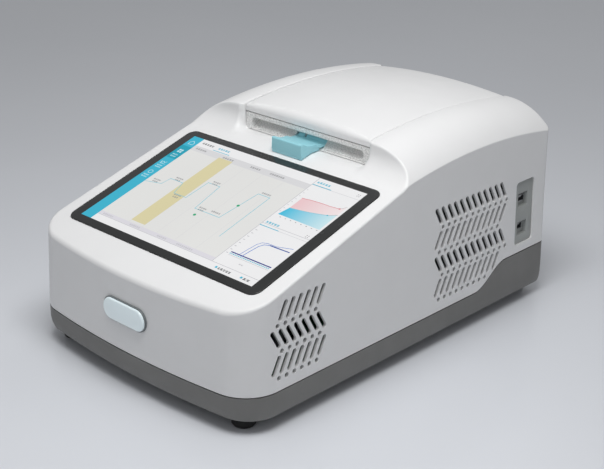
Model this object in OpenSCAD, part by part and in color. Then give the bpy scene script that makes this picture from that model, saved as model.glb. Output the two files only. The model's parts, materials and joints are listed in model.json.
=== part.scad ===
// Thermal cycler with a sloping touch display and a hinged heated lid.
// Millimetres. X runs left to right, Y runs front to back, Z is up.
// The origin is on the bench, under the middle of the outer box.

/* [Body] */
// Width of the body at the seam between casing and base
body_w = 276.5; // [274:0.5:280]
// Depth of the body from the middle of the front to the back
body_d = 416.5; // [414:0.5:420]
// Wall thickness of the plastic casing
wall = 2.6; // [2.2:0.1:3]
// Height of the seam above the bench at the front
seam_z = 34.4; // [33:0.1:36]
// Height of the seam at the back of the sides
rear_seam_z = 54.6; // [50:0.1:56]
// Inward lean of the side walls, in degrees
side_draft = 2.4; // [2:0.1:2.6]
// How far the front bows forward in the middle
front_bow = 11.2; // [9:0.1:13]
// Plan radius of the two front corners
front_corner_r = 34.7; // [30:0.1:36]
// Plan radius of the two back corners
rear_corner_r = 9; // [7:0.5:11]

/* [Deck] */
// Slope of the display deck, in degrees
deck_slope = 16.75; // [16.5:0.05:17]
// Height of the deck skin at the middle of the display
deck_z = 136.5; // [136:0.1:137]
// Radius where the deck rolls over into the front
front_edge_r = 14; // [10:0.5:16]

/* [Hump and lid] */
// Radius of the long arch of the top, at the middle of the lid
crown_r = 664.5; // [664:0.1:665]
// Drop of the arch from the middle of the lid to its side seams
lid_drop = 4.5; // [4:0.1:5]
// Width of the lid
lid_w = 155; // [154:0.5:156]

/* [Display] */
// Width of the touch glass
glass_w = 239; // [237:0.5:240]
// Length of the touch glass along the slope
glass_l = 159.4; // [158:0.1:160]
// Thickness of the touch glass
glass_t = 2.8; // [2:0.1:3]
// Width of the lit picture
picture_w = 217; // [215:0.5:218]
// Length of the lit picture along the slope
picture_l = 142.7; // [141:0.1:144]

/* [Sample block] */
// Wells along the width
well_columns = 12; // [12:1:12]
// Wells along the depth
well_rows = 8; // [8:1:8]
// Distance between neighbouring wells
well_pitch = 9; // [9:0.1:9]
// Radius of a well at its mouth
well_r = 3.3; // [3:0.1:3.4]

/* [Feet] */
// Height of the feet below the base
foot_h = 11; // [10:0.5:12]
// Radius of the feet
foot_r = 10.3; // [9:0.1:10.5]

/* [Hidden] */
sides = [-1, 1];
$fn = 48;
eps = 0.01;
big = 600;

// Outer box: the badge stands proud of the front, and the origin is under the middle of the box
badge_proud = 3;
front_y = -(body_d + badge_proud) / 2 + badge_proud;
rear_y = (body_d + badge_proud) / 2;
half_w = body_w / 2;
base_z = foot_h;
seam_gap = 0.6;
lean = tan(side_draft);
tongue_gap = 0.3;
tongue_t = 2.3;
tongue_h = 4;
seam_rise_y0 = 96;
seam_rise_y1 = 142;

// Plan outline: the front is one large arc, tangent to the two corner arcs
front_r = (pow(half_w, 2) + pow(front_bow, 2)) / (2 * front_bow);
front_cy = front_y + front_r;
corner_x = half_w - front_corner_r;
corner_y = front_cy - sqrt(pow(front_r - front_corner_r, 2) - pow(corner_x, 2));
corner_a = atan2(corner_y - front_cy, corner_x);

// Deck: a plane that ends in a level shelf in front of the lid
glass_rise = 0.8;
deck_y = -97.3;
deck_k = tan(deck_slope);
shelf_y = -1.3;
shelf_z = deck_z + deck_k * (shelf_y - deck_y);
glass_y = -96;

// Hump: every section across is swept about one low axis that runs along X
arch_y = 106.8;
arch_z = -463.6;
hump_front_y = 5.8;
seam_r = crown_r - lid_drop;
shoulder_x = 83;
shoulder_r = seam_r + 0.8;
edge_x = 133;
edge_r = 638;
cove_r = 18;
lid_half = lid_w / 2;
lid_front_y = 9.8;
lid_gap = 0.8;
lid_skin = 2.5;
lip_z = 183;
frame_front_z0 = 166;
pocket_half = 68.5;
pocket_z0 = 167.5;
pocket_z1 = 176.6;
pocket_depth = 20;
tray_z = 156;
tray_t = 2.4;
shoulder_corner_r = 5;
opening_x = lid_half + lid_gap;
rim_z = shelf_z - wall;
lid_boss_places = [for (x = [-66, 66]) for (y = [70, 150]) [x, y]];
lid_boss_r = 4;

// Hinge of the lid
hinge_y = 199.5;
hinge_z = 151;
barrel_r = 9.9;
hinge_pin_r = 3;
running_gap = 0.05;
hinge_x = 55;
hinge_pin_half = 18;
bracket_w = 16;
bracket_back = 1.5;
bracket_reach = 26;
bracket_foot_t = 2.6;
notch_z = hinge_z - 11;

// Well under the lid
well_floor_z = 150;
well_half = 81;
well_front_y = 14;
well_rear_y = 187;
skin = 2.5;

// Latch
latch_half = 18.4;
latch_front_y = -14.2;
latch_pivot = [24, 171];
latch_pin_r = 2;
arm_half = 7.5;
arm_y = [21.5, 27];
magnet_y = [22, 30];
magnet_z = [148.8, 151.4];

// Sample block and what lies under it
block_y = 80;
block_top_z = 148;
block_h = 22;
block_w = 120;
block_l = 84;
peltier_t = 3.6;
peltier_w = 39;
heatsink_base_t = 8;
heatsink_w = 140;
heatsink_l = 100;
fin_n = 24;
fin_t = 1.4;
fin_h = 56;
block_z0 = block_top_z - block_h;
peltier_z0 = block_z0 - peltier_t;
heatsink_z0 = peltier_z0 - heatsink_base_t;
well_depth = 15;
well_tip_r = 1.2;
flange_t = 6;
flange_w = 138;
flange_l = 100;
block_screw_places = [for (x = sides) for (y = sides) [65 * x, block_y + 46 * y]];
sink_posts = [for (x = sides) for (y = sides) [66 * x, block_y + 46 * y]];

// Heated plate inside the lid
plate_w = 118;
plate_l = 82;
plate_t = 5;
plate_z0 = 153;
plate_travel = 2.5;
guide_x = 50;
guide_y = 33;
guide_places = [for (x = sides) for (y = sides) [guide_x * x, block_y + guide_y * y]];
guide_r = 2;
guide_z0 = plate_z0 + 1.4;
spring_top_z = 169;

// Fans and back panel
panel_x = 120;
panel_z0 = 59;
panel_z1 = 137;
panel_t = 2;
panel_y1 = 207.4;
flange_y0 = panel_y1 - 2 * panel_t - 0.2;
panel_screw_x = 124;
panel_screw_zs = [68, 128];
fan_size = 70;
fan_t = 25;
fan_xs = [-38, 38];
fan_z = 97;
fan_y1 = flange_y0;
fan_y0 = fan_y1 - fan_t;
fan_hole = 30.75;
fan_holes = [for (x = sides) for (z = sides) fan_hole * [x, z]];
fan_bore = fan_size / 2 - 2;
hub_r = 14;
inlet_x = 94;
inlet_z = 92;
inlet_w = 28;
inlet_h = 48;
rocker_y = panel_y1 - 5;
rocker_z = inlet_z + 13.5;

// Ports on the right side
port_y0 = 156.8;
port_y1 = 185.8;
port_z0 = 63.4;
port_z1 = 126.4;
port_zs = [78.4, 107.1];
port_cy = 169.8;
port_w = 17;
port_h = 10.6;
port_depth = 4;

// Side vents: each row is the middle of its first slot [y, z], the count and which way it leans
vent_pitch = 8.72;
slot_h = 12.3;
slot_r = 2.2;
dot_r = 2.1;
slot_lean = 6.6;
slot_rows = [[-156.4, 102.7, 6, 1], [-165.4, 80, 7, -1], [-165.4, 57.4, 7, 1],
    [39.5, 125.8, 12, -1], [39.5, 103.4, 12, 1], [39.5, 80.3, 12, -1], [39.3, 58, 11, 1]];
// Rows of dots between the slots: the first dot [y, z] and the count
dot_rows = [[-163, 91.3, 6], [-158.8, 68.7, 6], [-163, 46.1, 6],
    [45.5, 114.7, 12], [40.7, 91.9, 11], [45.4, 69, 12], [40.7, 46.5, 9]];

// Boards and supply in the front half
floor_z = base_z + 3;
board_x = 42;
board_y = -95;
board_z = 24;
board_w = 150;
board_l = 130;
board_t = 1.6;
standoff_places = [for (x = [-68, 68]) for (y = [-58, 58]) [board_x + x, board_y + y]];
supply = [82, 170, 42];
supply_at = [-118, -150];
cable_x = 20;
cable_y = -66;
harness_x = 110.5;
harness_y = [-20, 174.8];
harness_z = [30, 71];

// Feet, badge and the screws that hold base and casing together
foot_hole_r = 2.1;
foot_x = 111.5;
foot_ys = [-176.5, 198.5];
foot_places = [for (x = [-foot_x, foot_x]) for (y = foot_ys) [x, y]];
badge_z = 70.4;
badge_w = 56;
badge_h = 22;
boss_r = 4.5;
boss_z = 26;
// Each boss: x, y, the direction of the wall that its rib runs to, and the length of that rib
bosses = [[-126, -85, 180, 9], [126, -85, 0, 9], [-126, 150, 180, 9], [126, 150, 0, 9],
    [0, -188, -90, 17]];

white = [0.93, 0.93, 0.94];
grey = [0.36, 0.36, 0.36];
light_grey = [0.74, 0.75, 0.75];
dark = [0.12, 0.12, 0.13];
metal = [0.72, 0.73, 0.75];
teal = [0.45, 0.73, 0.79];

// Points of an arc of n steps about c, from angle a0 to angle a1
function arc(c, r, a0, a1, n) =
    [for (i = [0:n]) let (a = a0 + (a1 - a0) * i / n) c + r * [cos(a), sin(a)]];
function mirrored(pts) = [for (i = [len(pts) - 1:-1:0]) [-pts[i][0], pts[i][1]]];
function smooth(t) = t <= 0 ? 0 : t >= 1 ? 1 : t * t * (3 - 2 * t);
// Height of the seam at depth y
function seam_at(y) =
    seam_z + (rear_seam_z - seam_z) * smooth((y - seam_rise_y0) / (seam_rise_y1 - seam_rise_y0));
// Radius of the arch at x, from the middle of the lid out to the side edge
function lid_radius(x) = crown_r - lid_drop * pow(x / lid_half, 2);
shoulder_fall = shoulder_r - edge_r;
shoulder_curve_r = (pow(edge_x - shoulder_x, 2) + pow(shoulder_fall, 2)) / (2 * shoulder_fall);
shoulder_sweep = asin((edge_x - shoulder_x) / shoulder_curve_r);

// Right half of the plan outline, from the middle of the front to the back, set in by o
function half_outline(o) = concat(
    arc([0, front_cy], front_r - o, -90, corner_a, 10),
    arc([corner_x, corner_y], front_corner_r - o, corner_a + 4, 0, 10),
    arc([half_w - rear_corner_r, rear_y - rear_corner_r], rear_corner_r - o, 0, 90, 5));

module outline(o = 0) {
    polygon(concat(half_outline(o), mirrored(half_outline(o))));
}

// Extrudes a section drawn as [y, z] along X
module along_x(x0, x1) {
    translate([x0, 0, 0]) rotate([90, 0, 90]) linear_extrude(x1 - x0) children();
}

// Extrudes a section drawn as [x, z] along Y
module along_y(y0, y1) {
    translate([0, y1, 0]) rotate([90, 0, 0]) linear_extrude(y1 - y0) children();
}

module box(x0, x1, y0, y1, z0, z1) {
    translate([x0, y0, z0]) cube([x1 - x0, y1 - y0, z1 - z0]);
}

// A rod along X
module rod_x(x0, x1, y, z, r) {
    translate([x0, y, z]) rotate([0, 90, 0]) cylinder(r = r, h = x1 - x0);
}

// A rod along Y
module rod_y(x, y0, y1, z, r) {
    translate([x, y1, z]) rotate([90, 0, 0]) cylinder(r = r, h = y1 - y0);
}

// A rod along Z at plan point p
module rod_z(p, z0, z1, r) {
    translate([p[0], p[1], z0]) cylinder(r = r, h = z1 - z0);
}

// Children and their mirror image on the other side
module both_sides() {
    for (s = [0, 1]) mirror([s, 0, 0]) children();
}

// A box w wide and l long, centred on the middle plane and on depth y
module mid_box(w, l, y, z0, z1) {
    translate([-w / 2, y - l / 2, z0]) cube([w, l, z1 - z0]);
}

// A rectangle with round corners, centred
module round_rect(w, h, r) {
    corners = [[w / 2 - r, h / 2 - r, 0], [r - w / 2, h / 2 - r, 90],
        [r - w / 2, r - h / 2, 180], [w / 2 - r, r - h / 2, 270]];
    polygon([for (c = corners) for (p = arc([c[0], c[1]], r, c[2], c[2] + 90, 5)) p]);
}

// Everything on the low side of the deck, its rolled front edge and the shelf, lowered by o
module deck_section(o) {
    edge_z = deck_z + deck_k * (front_y - deck_y) - o / cos(deck_slope);
    r = front_edge_r - o;
    face_y = front_y + o;
    // centre of the roll, r inside both the front face and the deck
    roll_y = face_y + r;
    roll_z = edge_z + deck_k * (r + o) - r / cos(deck_slope);
    polygon(concat([[face_y, 0]], arc([roll_y, roll_z], r, 180, 90 + deck_slope, 8),
        [[shelf_y - o * deck_k, shelf_z - o], [rear_y, shelf_z - o], [rear_y, 0]]));
}

// Section of the arch as [radius, x], from x = 0 out to the side, lowered by o
function arch_half(o) = concat(
    [for (i = [0:8]) [lid_radius(lid_half * i / 8) - o, lid_half * i / 8]],
    [for (i = [1:10]) let (a = shoulder_sweep * i / 10)
        [shoulder_r - o - shoulder_curve_r * (1 - cos(a)), shoulder_x + shoulder_curve_r * sin(a)]],
    [[edge_r - o - 12, edge_x + 8]]);

module arch(o, y0, y1) {
    sweep = 26;
    pts = arch_half(o);
    low = 560;
    intersection() {
        translate([0, arch_y, arch_z]) rotate([0, 90, 0]) rotate([0, 0, 180 - sweep / 2])
            rotate_extrude(angle = sweep, $fn = 720)
                polygon(concat([[low, -edge_x - 8]], [for (i = [len(pts) - 1:-1:1]) [pts[i][0], -pts[i][1]]],
                    pts, [[low, edge_x + 8]]));
        box(-half_w - 1, half_w + 1, y0, y1, base_z, 260);
    }
}

// Concave fillet between the deck and the front of each shoulder
module coves() {
    for (s = [-1, 1]) intersection() {
        along_x(s > 0 ? lid_half + lid_gap : -edge_x, s > 0 ? edge_x : -lid_half - lid_gap)
            polygon(concat([[hump_front_y + eps, 150]],
                arc([hump_front_y - cove_r, shelf_z + cove_r + 1], cove_r, 0, -90 + deck_slope, 8),
                [[hump_front_y - cove_r, 150]]));
        arch(0, hump_front_y - cove_r - 1, hump_front_y + 1);
    }
}

// Space between the two sides, set in by o: upright up to the seam, leaning inwards above it
module leaning_sides(o) {
    x = half_w - o;
    top = 220;
    in = (top - seam_z) * lean;
    along_y(-big / 2, big / 2)
        polygon([[-x, 0], [x, 0], [x, seam_z], [x - in, top], [in - x, top], [-x, seam_z]]);
}

// Body solid set in by o: plan outline, leaning sides, deck and hump
module body_solid(o) {
    intersection() {
        translate([0, 0, base_z]) linear_extrude(220) outline(o);
        leaning_sides(o);
        union() {
            along_x(-half_w - 1, half_w + 1) deck_section(o);
            arch(o, hump_front_y + o, rear_y + 1);
            if (o == 0) coves();
        }
    }
}

// Region above the seam line, raised by up
module above_seam(up) {
    along_x(-half_w - 2, half_w + 2) polygon(concat(
        [[-big, seam_z + up]],
        [for (i = [0:12]) let (y = seam_rise_y0 + (seam_rise_y1 - seam_rise_y0) * i / 12)
            [y, seam_at(y) + up]],
        [[big, rear_seam_z + up], [big, 300], [-big, 300]]));
}

// One leaning slot, top end towards the back when lean is positive
module slot(lean) {
    a = atan2(slot_h, lean);
    top = [lean / 2, slot_h / 2];
    polygon(concat(arc(top, slot_r, a - 90, a + 90, 4), arc(-top, slot_r, a + 90, a + 270, 4)));
}

// Rows of slots and dots, drawn as [y, z] and cut through both sides
module side_vents() {
    along_x(-half_w - 2, half_w + 2) {
        for (row = slot_rows) for (i = [0:row[2] - 1])
            translate([row[0] + i * vent_pitch, row[1]]) slot(row[3] * slot_lean);
        for (row = dot_rows) for (i = [0:row[2] - 1])
            translate([row[0] + i * vent_pitch, row[1]]) circle(r = dot_r, $fn = 16);
    }
}

// Places children on the deck plane, x across, y up the slope, z out of the deck
module on_deck() {
    translate([0, glass_y, deck_z + deck_k * (glass_y - deck_y)]) rotate([deck_slope, 0, 0]) children();
}

// ---- Casing ----

// Limits of the base: its lower edges draw in, most of all at the front
module base_chamfers() {
    intersection() {
        along_y(-big / 2, big / 2)
            polygon([[4 - half_w, base_z], [half_w - 4, base_z], [half_w - 1.4, base_z + 3],
                [half_w, base_z + 12], [half_w, 80], [-half_w, 80], [-half_w, base_z + 12],
                [1.4 - half_w, base_z + 3]]);
        along_x(-half_w - 1, half_w + 1)
            polygon([[front_y + 8, base_z], [rear_y - 3, base_z], [rear_y, base_z + 4], [rear_y, 80],
                [front_y, 80], [front_y, base_z + 12], [front_y + 2.5, base_z + 3]]);
    }
}

module base_tray() color(grey) {
    difference() {
        union() {
            difference() {
                intersection() {
                    translate([0, 0, base_z]) linear_extrude(60) outline(0);
                    leaning_sides(0);
                    base_chamfers();
                }
                translate([0, 0, floor_z]) linear_extrude(80) outline(wall);
                above_seam(0);
            }
            // thicker band below the seam
            difference() {
                translate([0, 0, floor_z - 1]) linear_extrude(60) outline(wall - 0.5);
                translate([0, 0, floor_z]) linear_extrude(80) outline(wall + tongue_gap + tongue_t);
                above_seam(0);
            }
            // tongue that stands up inside the casing
            difference() {
                intersection() {
                    translate([0, 0, floor_z]) linear_extrude(60) outline(wall + tongue_gap);
                    leaning_sides(wall + tongue_gap);
                }
                translate([0, 0, floor_z - 1]) linear_extrude(80) outline(wall + tongue_gap + tongue_t);
                above_seam(tongue_h);
            }
            for (p = bosses) rod_z(p, floor_z - eps, boss_z, boss_r + 0.5);
            for (p = foot_places) rod_z(p, floor_z - eps, floor_z + 5, 5);
            for (p = sink_posts) rod_z(p, floor_z - eps, heatsink_z0 - fin_h, 3.5);
        }
        for (p = foot_places) rod_z(p, base_z - 1, base_z + 9, foot_hole_r);
        for (p = bosses) {
            rod_z(p, base_z - 1, boss_z + 1, 1.9);
            rod_z(p, base_z - 1, base_z + 4, 3.3);
        }
        // air inlets under the heatsink
        for (i = [-5:5]) translate([i * 12, 0, 0]) mid_box(6, 80, block_y, base_z - 1, floor_z + 1);
    }
}

module upper_casing() color(white) {
    difference() {
        union() {
            difference() {
                body_solid(0);
                body_solid(wall);
                box(-big, big, -big, big, -10, floor_z + 1);
                side_vents();
            }
            for (p = bosses) casing_boss(p);
            // rim that hangs down beside the lid, and the shelf in front of it
            intersection() {
                both_sides() box(opening_x, opening_x + wall, hump_front_y + 1, rear_y - 1, rim_z, 230);
                arch(1, hump_front_y, rear_y);
            }
            box(-opening_x - 1, opening_x + 1, hump_front_y + 1, well_front_y, rim_z, shelf_z);
        }
        difference() {
            box(-big, big, -big, big, -10, 80);
            above_seam(seam_gap);
            for (p = bosses) rod_z(p, 0, 80, boss_r + 1);
        }
        on_deck() translate([0, 0, -12]) linear_extrude(30) round_rect(glass_w + 0.8, glass_l + 0.8, 9.4);
        // opening for the lid
        box(-opening_x, opening_x, well_front_y, rear_y + 5, notch_z, 260);
        box(-opening_x, opening_x, hump_front_y - 1, well_front_y + 1, shelf_z, 260);
        both_sides() shoulder_corner();
        // opening for the back panel, with countersinks for its screws
        box(-panel_x, panel_x, rear_y - 8, rear_y + 5, panel_z0 + 0.3, panel_z1 - 0.3);
        for (x = [-panel_screw_x, panel_screw_x]) for (z = panel_screw_zs) {
            rod_y(x, rear_y - 6, rear_y + 2, z, 1.7);
            rod_y(x, rear_y - 1.35, rear_y + 2, z, 3.2);
        }
        box(half_w - 16, half_w + 5, port_y0, port_y1, port_z0, port_z1);
        along_y(front_y - 1, front_y + 9) translate([0, badge_z]) circle(r = 3);
    }
}

// What is cut away to round the front corner of the shoulder beside the lid
module shoulder_corner() {
    r = shoulder_corner_r;
    translate([opening_x - 0.1, hump_front_y - 0.1, shelf_z]) linear_extrude(60) difference() {
        square(r + 0.1);
        translate([r + 0.1, r + 0.1]) circle(r = r);
    }
}

// A screw boss that hangs from a rib on the wall and meets the boss of the base
module casing_boss(p) {
    rib_z = seam_at(p[1]) + tongue_h + 1;
    top = rib_z + 12;
    z0 = boss_z + 0.3;
    difference() {
        union() {
            rod_z(p, z0, top, boss_r);
            translate([p[0], p[1], rib_z]) rotate(p[2]) translate([0, -1.5, 0]) cube([p[3], 3, top - rib_z]);
        }
        rod_z(p, z0 - 1, z0 + 13, 1.75);
    }
}

module rear_panel() color(light_grey) {
    difference() {
        union() {
            box(-panel_x + 0.3, panel_x - 0.3, panel_y1 - panel_t, panel_y1, panel_z0 + 0.6, panel_z1 - 0.6);
            box(-panel_x - 8, panel_x + 8, flange_y0, panel_y1 - panel_t, panel_z0 + 0.2, panel_z1 + 0.8);
            both_sides()
                box(panel_x + 0.3, panel_x + 8, flange_y0, rear_y - wall - 0.2, panel_z0 + 1, panel_z1 - 1);
        }
        for (x = fan_xs) {
            rod_y(x, flange_y0 - 1, panel_y1 + 1, fan_z, fan_bore);
            for (h = fan_holes) rod_y(x + h[0], flange_y0 - 1, panel_y1 + 1, fan_z + h[1], 2.1);
        }
        box(inlet_x - inlet_w / 2, inlet_x + inlet_w / 2, flange_y0 - 1, panel_y1 + 1,
            inlet_z - inlet_h / 2, inlet_z + inlet_h / 2);
        for (x = [-panel_screw_x, panel_screw_x]) for (z = panel_screw_zs)
            rod_y(x, flange_y0 - 1, rear_y, z, 1.6);
    }
}

module lid_well() color(white) {
    x1 = opening_x + skin;
    y1 = rear_y - wall - 0.3;
    difference() {
        union() {
            box(-x1, x1, well_front_y - skin, well_rear_y, well_floor_z - skin, well_floor_z);
            both_sides() box(opening_x, x1, well_front_y - skin, y1, notch_z - 2, rim_z - 0.3);
            box(-x1, x1, well_front_y - skin, well_front_y, well_floor_z - skin, rim_z - 0.3);
            box(-x1, x1, well_rear_y - skin, well_rear_y, notch_z - 2, well_floor_z);
            box(-x1, x1, well_rear_y - skin, y1, notch_z - 2, notch_z);
        }
        mid_box(block_w + 4.4, block_l + 4.4, block_y, well_floor_z - 10, well_floor_z + 5);
        for (s = sides) translate([s * hinge_x - bracket_w / 2 - 0.5, 0, 0])
            box(0, bracket_w + 1, well_rear_y + 1, rear_y - 5, notch_z - 5, notch_z + 3);
        box(-7.3, 7.3, magnet_y[0] - 0.3, magnet_y[1] + 0.3, magnet_z[0], well_floor_z + 1);
    }
}

module front_badge() color([0.85, 0.93, 0.95]) {
    along_y(front_y - badge_proud, front_y) translate([0, badge_z])
        round_rect(badge_w, badge_h, badge_h / 2 - 0.1);
    along_y(front_y - eps, front_y + 6) translate([0, badge_z]) circle(r = 2.8);
}

module port_bezel() color(grey) {
    x0 = half_w - 3.4 - port_depth;
    rim_x = half_w - 4.5;
    difference() {
        union() {
            box(x0 - 2, x0, port_y0 - 2, port_y1 + 2, port_z0 - 2, port_z1 + 2);
            difference() {
                box(x0 - 1, rim_x, port_y0 + 0.3, port_y1 - 0.3, port_z0 + 0.3, port_z1 - 0.3);
                box(x0, rim_x + 1, port_y0 + 1.9, port_y1 - 1.9, port_z0 + 1.9, port_z1 - 1.9);
            }
        }
        for (z = port_zs)
            socket_core(x0 - 20, x0 + 1, z, port_w, port_h);
    }
}

// A block from x0 to x1, w wide and h high, round the middle of the port at height z
module socket_core(x0, x1, z, w, h) {
    box(x0, x1, port_cy - w / 2, port_cy + w / 2, z - h / 2, z + h / 2);
}

// A USB type A socket: a folded metal shell with its tongue, in a dark holder
module usb_socket(z) {
    x1 = half_w - 3.4 - port_depth - 0.6;
    w = 13.2;
    h = 5.8;
    shell_t = 0.4;
    color(metal) difference() {
        socket_core(x1 - 16, x1, z, w, h);
        socket_core(x1 - 12, x1 + 1, z, w - 2 * shell_t, h - 2 * shell_t);
    }
    color(dark) box(x1 - 13, x1 - 1.5, port_cy - 4.4, port_cy + 4.4, z + 0.3, z + 1.9);
    color(dark) difference() {
        socket_core(x1 - 15.4, x1 - 1.6, z, port_w + 4, port_h + 3.2);
        socket_core(x1 - 17, x1 + 1, z, w + 0.04, h + 0.04);
    }
}

module foot(x, y) color(dark) translate([x, y, 0]) difference() {
    union() {
        cylinder(r1 = foot_r - 1.4, r2 = foot_r, h = 2);
        translate([0, 0, 2]) cylinder(r = foot_r, h = foot_h - 2);
    }
    translate([0, 0, -1]) cylinder(r = 4.2, h = 6);
    translate([0, 0, -1]) cylinder(r = foot_hole_r, h = 20);
}

// A pan head screw with its head at the bottom, pointing up
module screw_up(p, z, r, length) color(metal) translate([p[0], p[1], z]) {
    cylinder(r = r * 1.9, h = r * 1.2);
    translate([0, 0, r * 1.2 - eps]) cylinder(r = r, h = length);
}

module foot_screws() {
    for (p = foot_places) screw_up(p, 2.6, 2, 14);
}

module casing_screws() {
    for (p = bosses) screw_up(p, base_z + 2, 1.6, 20);
}

// ---- Display ----

module touch_glass() color(dark) on_deck() translate([0, 0, glass_rise - glass_t])
    linear_extrude(glass_t) round_rect(glass_w, glass_l, 9);

module lcd_module() color([0.6, 0.62, 0.64]) on_deck() translate([0, 0, glass_rise - glass_t - 6])
    linear_extrude(6) round_rect(picture_w + 8, picture_l + 6, 2);

// Frame that carries the glass from below, with two straps behind the picture module
module display_bracket() color(metal) on_deck() {
    land_z = glass_rise - glass_t;
    difference() {
        union() {
            translate([0, 0, land_z - 2.2]) linear_extrude(1.5) round_rect(glass_w + 7, glass_l + 6.6, 6);
            translate([0, 0, land_z - 2.2]) linear_extrude(2.2) round_rect(glass_w - 3, glass_l - 3.4, 6);
        }
        translate([0, 0, -20]) linear_extrude(30) round_rect(picture_w + 9.6, picture_l + 7.6, 2);
    }
    for (s = [-1, 1]) {
        translate([s * 114.5 - 1, -46, land_z - 8]) cube([2, 92, 6]);
        translate([-115.5, s * 34 - 9, land_z - 8]) cube([231, 18, 1.6]);
    }
}

module display_board() color([0.1, 0.35, 0.22]) on_deck() {
    z = glass_rise - glass_t - 14;
    spacers = [for (x = [-60, 60]) for (y = [-34, 34]) [x, y]];
    difference() {
        mid_box(140, 80, 0, z, z + board_t);
        for (p = spacers) rod_z(p, z - 1, z + 3, 1);
    }
    for (i = [0:3]) translate([-55 + i * 30, -14, z - 2.8]) cube([16, 16, 2.9]);
    translate([cable_x - 2, 22, z - 3]) cube([30, 8, 3.1]);
    for (p = spacers) rod_z(p, z + board_t - 0.1, z + board_t + 4.4, 2.5);
}

// Flat cable from the display board down to the main board
module display_cable() color([0.8, 0.8, 0.78])
    box(cable_x, cable_x + 26, cable_y, cable_y + 1.2, board_z + 8, deck_z - 10.6);

// ---- Lid ----

module lid_blank(o, y0, y1) {
    intersection() {
        arch(o, y0, y1);
        box(-lid_half + o, lid_half - o, y0, y1, 120, 260);
    }
}

module lid_cover() color(white) {
    rear_low_z = hinge_z + barrel_r + 0.3;
    difference() {
        union() {
            difference() {
                lid_blank(0, lid_front_y, rear_y);
                lid_blank(lid_skin, lid_front_y + lid_skin, rear_y - lid_skin);
            }
            intersection() {
                for (p = lid_boss_places) rod_z(p, tray_z + tray_t + 0.05, 220, lid_boss_r);
                lid_blank(1, lid_front_y, rear_y);
            }
        }
        // lower edge: high at the front lip, lower along the sides, down to the hinge at the back
        difference() {
            along_x(-big / 2, big / 2)
                polygon([[-50, 100], [-50, lip_z], [33.4, lip_z], [44, 168], [188, 168],
                    [rear_y - 14, rear_low_z], [rear_y + 10, rear_low_z], [rear_y + 10, 100]]);
            for (p = lid_boss_places) rod_z(p, 0, 300, lid_boss_r + 1);
        }
        for (p = lid_boss_places) rod_z(p, 150, 170, 1.55);
    }
    difference() {
        box(-lid_half, lid_half, rear_y - lid_skin, rear_y, hinge_z, hinge_z + 11);
        rod_x(-big / 2, big / 2, hinge_y, hinge_z, barrel_r + 0.2);
    }
}

module lid_frame() color(light_grey) {
    w = lid_half - 0.2;
    in_w = lid_half - lid_skin - 0.4;
    grip_y1 = lid_front_y + pocket_depth;
    tray_y0 = lid_front_y + 8;
    difference() {
        union() {
            // front grip with its finger pocket
            difference() {
                box(-w, w, lid_front_y, grip_y1 + 3, frame_front_z0, lip_z - 0.5);
                box(-pocket_half, pocket_half, lid_front_y - 1, grip_y1, pocket_z0, pocket_z1);
            }
            // tray
            difference() {
                box(-in_w, in_w, tray_y0, hinge_y - 6, tray_z, frame_front_z0 + 0.2);
                box(tray_t - in_w, in_w - tray_t, tray_y0 + tray_t, hinge_y - 14, tray_z + tray_t, 167);
                mid_box(plate_w + 2, plate_l + 2, block_y, 150, 162);
            }
            // bridge that carries the springs and guides of the heated plate
            for (y = [block_y - guide_y, block_y + guide_y]) difference() {
                box(-in_w, in_w, y - 7, y + 7, 166, spring_top_z + 3);
                box(-guide_x + 12, guide_x - 12, y - 8, y + 8, 165, spring_top_z);
            }
            rod_x(-w, w, hinge_y, hinge_z, barrel_r);
            box(-w, w, hinge_y - 8, hinge_y, hinge_z + 2, 160);
        }
        for (s = sides) translate([s * hinge_x, hinge_y, hinge_z])
            box(-bracket_w / 2 - 0.6, bracket_w / 2 + 0.6, -12, 12, -12, 9.2);
        rod_x(-w - 1, w + 1, hinge_y, hinge_z, hinge_pin_r + running_gap);
        for (p = guide_places) {
            rod_z(p, 160, 180, guide_r + 0.1);
            rod_z(p, 155, spring_top_z, 5.5);
        }
        for (p = lid_boss_places) rod_z(p, tray_z - 1, tray_z + 4, 1.65);
        // way for the arm of the latch
        box(-9, 9, 17, 35, 150, 170);
        box(-latch_half - 0.6, latch_half + 0.6, lid_front_y + 5, 30.5, 167.5, 176.6);
        latch_rod(latch_half + 6, latch_pin_r);
    }
}

module lid_insulation() color([0.9, 0.88, 0.8]) {
    mid_box(74, plate_l - 6, block_y, plate_z0 + plate_t + plate_travel + 0.8, spring_top_z - 0.6);
}

module lid_screws() {
    for (p = lid_boss_places) screw_up(p, tray_z - 1.8, 1.5, 12);
}

module heated_plate() color(metal) {
    difference() {
        mid_box(plate_w, plate_l, block_y, plate_z0, plate_z0 + plate_t);
        for (p = guide_places) rod_z(p, guide_z0, guide_z0 + 10, guide_r);
    }
}

module plate_guide_pins() color(metal) {
    for (p = guide_places) {
        rod_z(p, guide_z0, spring_top_z + 5, guide_r);
        rod_z(p, spring_top_z + 3.4, spring_top_z + 5, guide_r + 1.6);
    }
}

// Compression springs round the guide pins, as stacks of rings
module plate_springs() color(metal) {
    z0 = plate_z0 + plate_t;
    h = spring_top_z - z0;
    n = 6;
    wire = 0.55;
    coil_r = 3.6;
    for (p = guide_places) translate([p[0], p[1], z0]) {
        for (i = [0:n]) translate([0, 0, wire + (h - 2 * wire) * i / n])
            rotate_extrude($fn = 24) translate([coil_r, 0]) circle(r = wire, $fn = 16);
        for (x = [-coil_r, coil_r]) translate([x, 0, wire]) cylinder(r = 0.3, h = h - 2 * wire, $fn = 16);
    }
}

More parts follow.
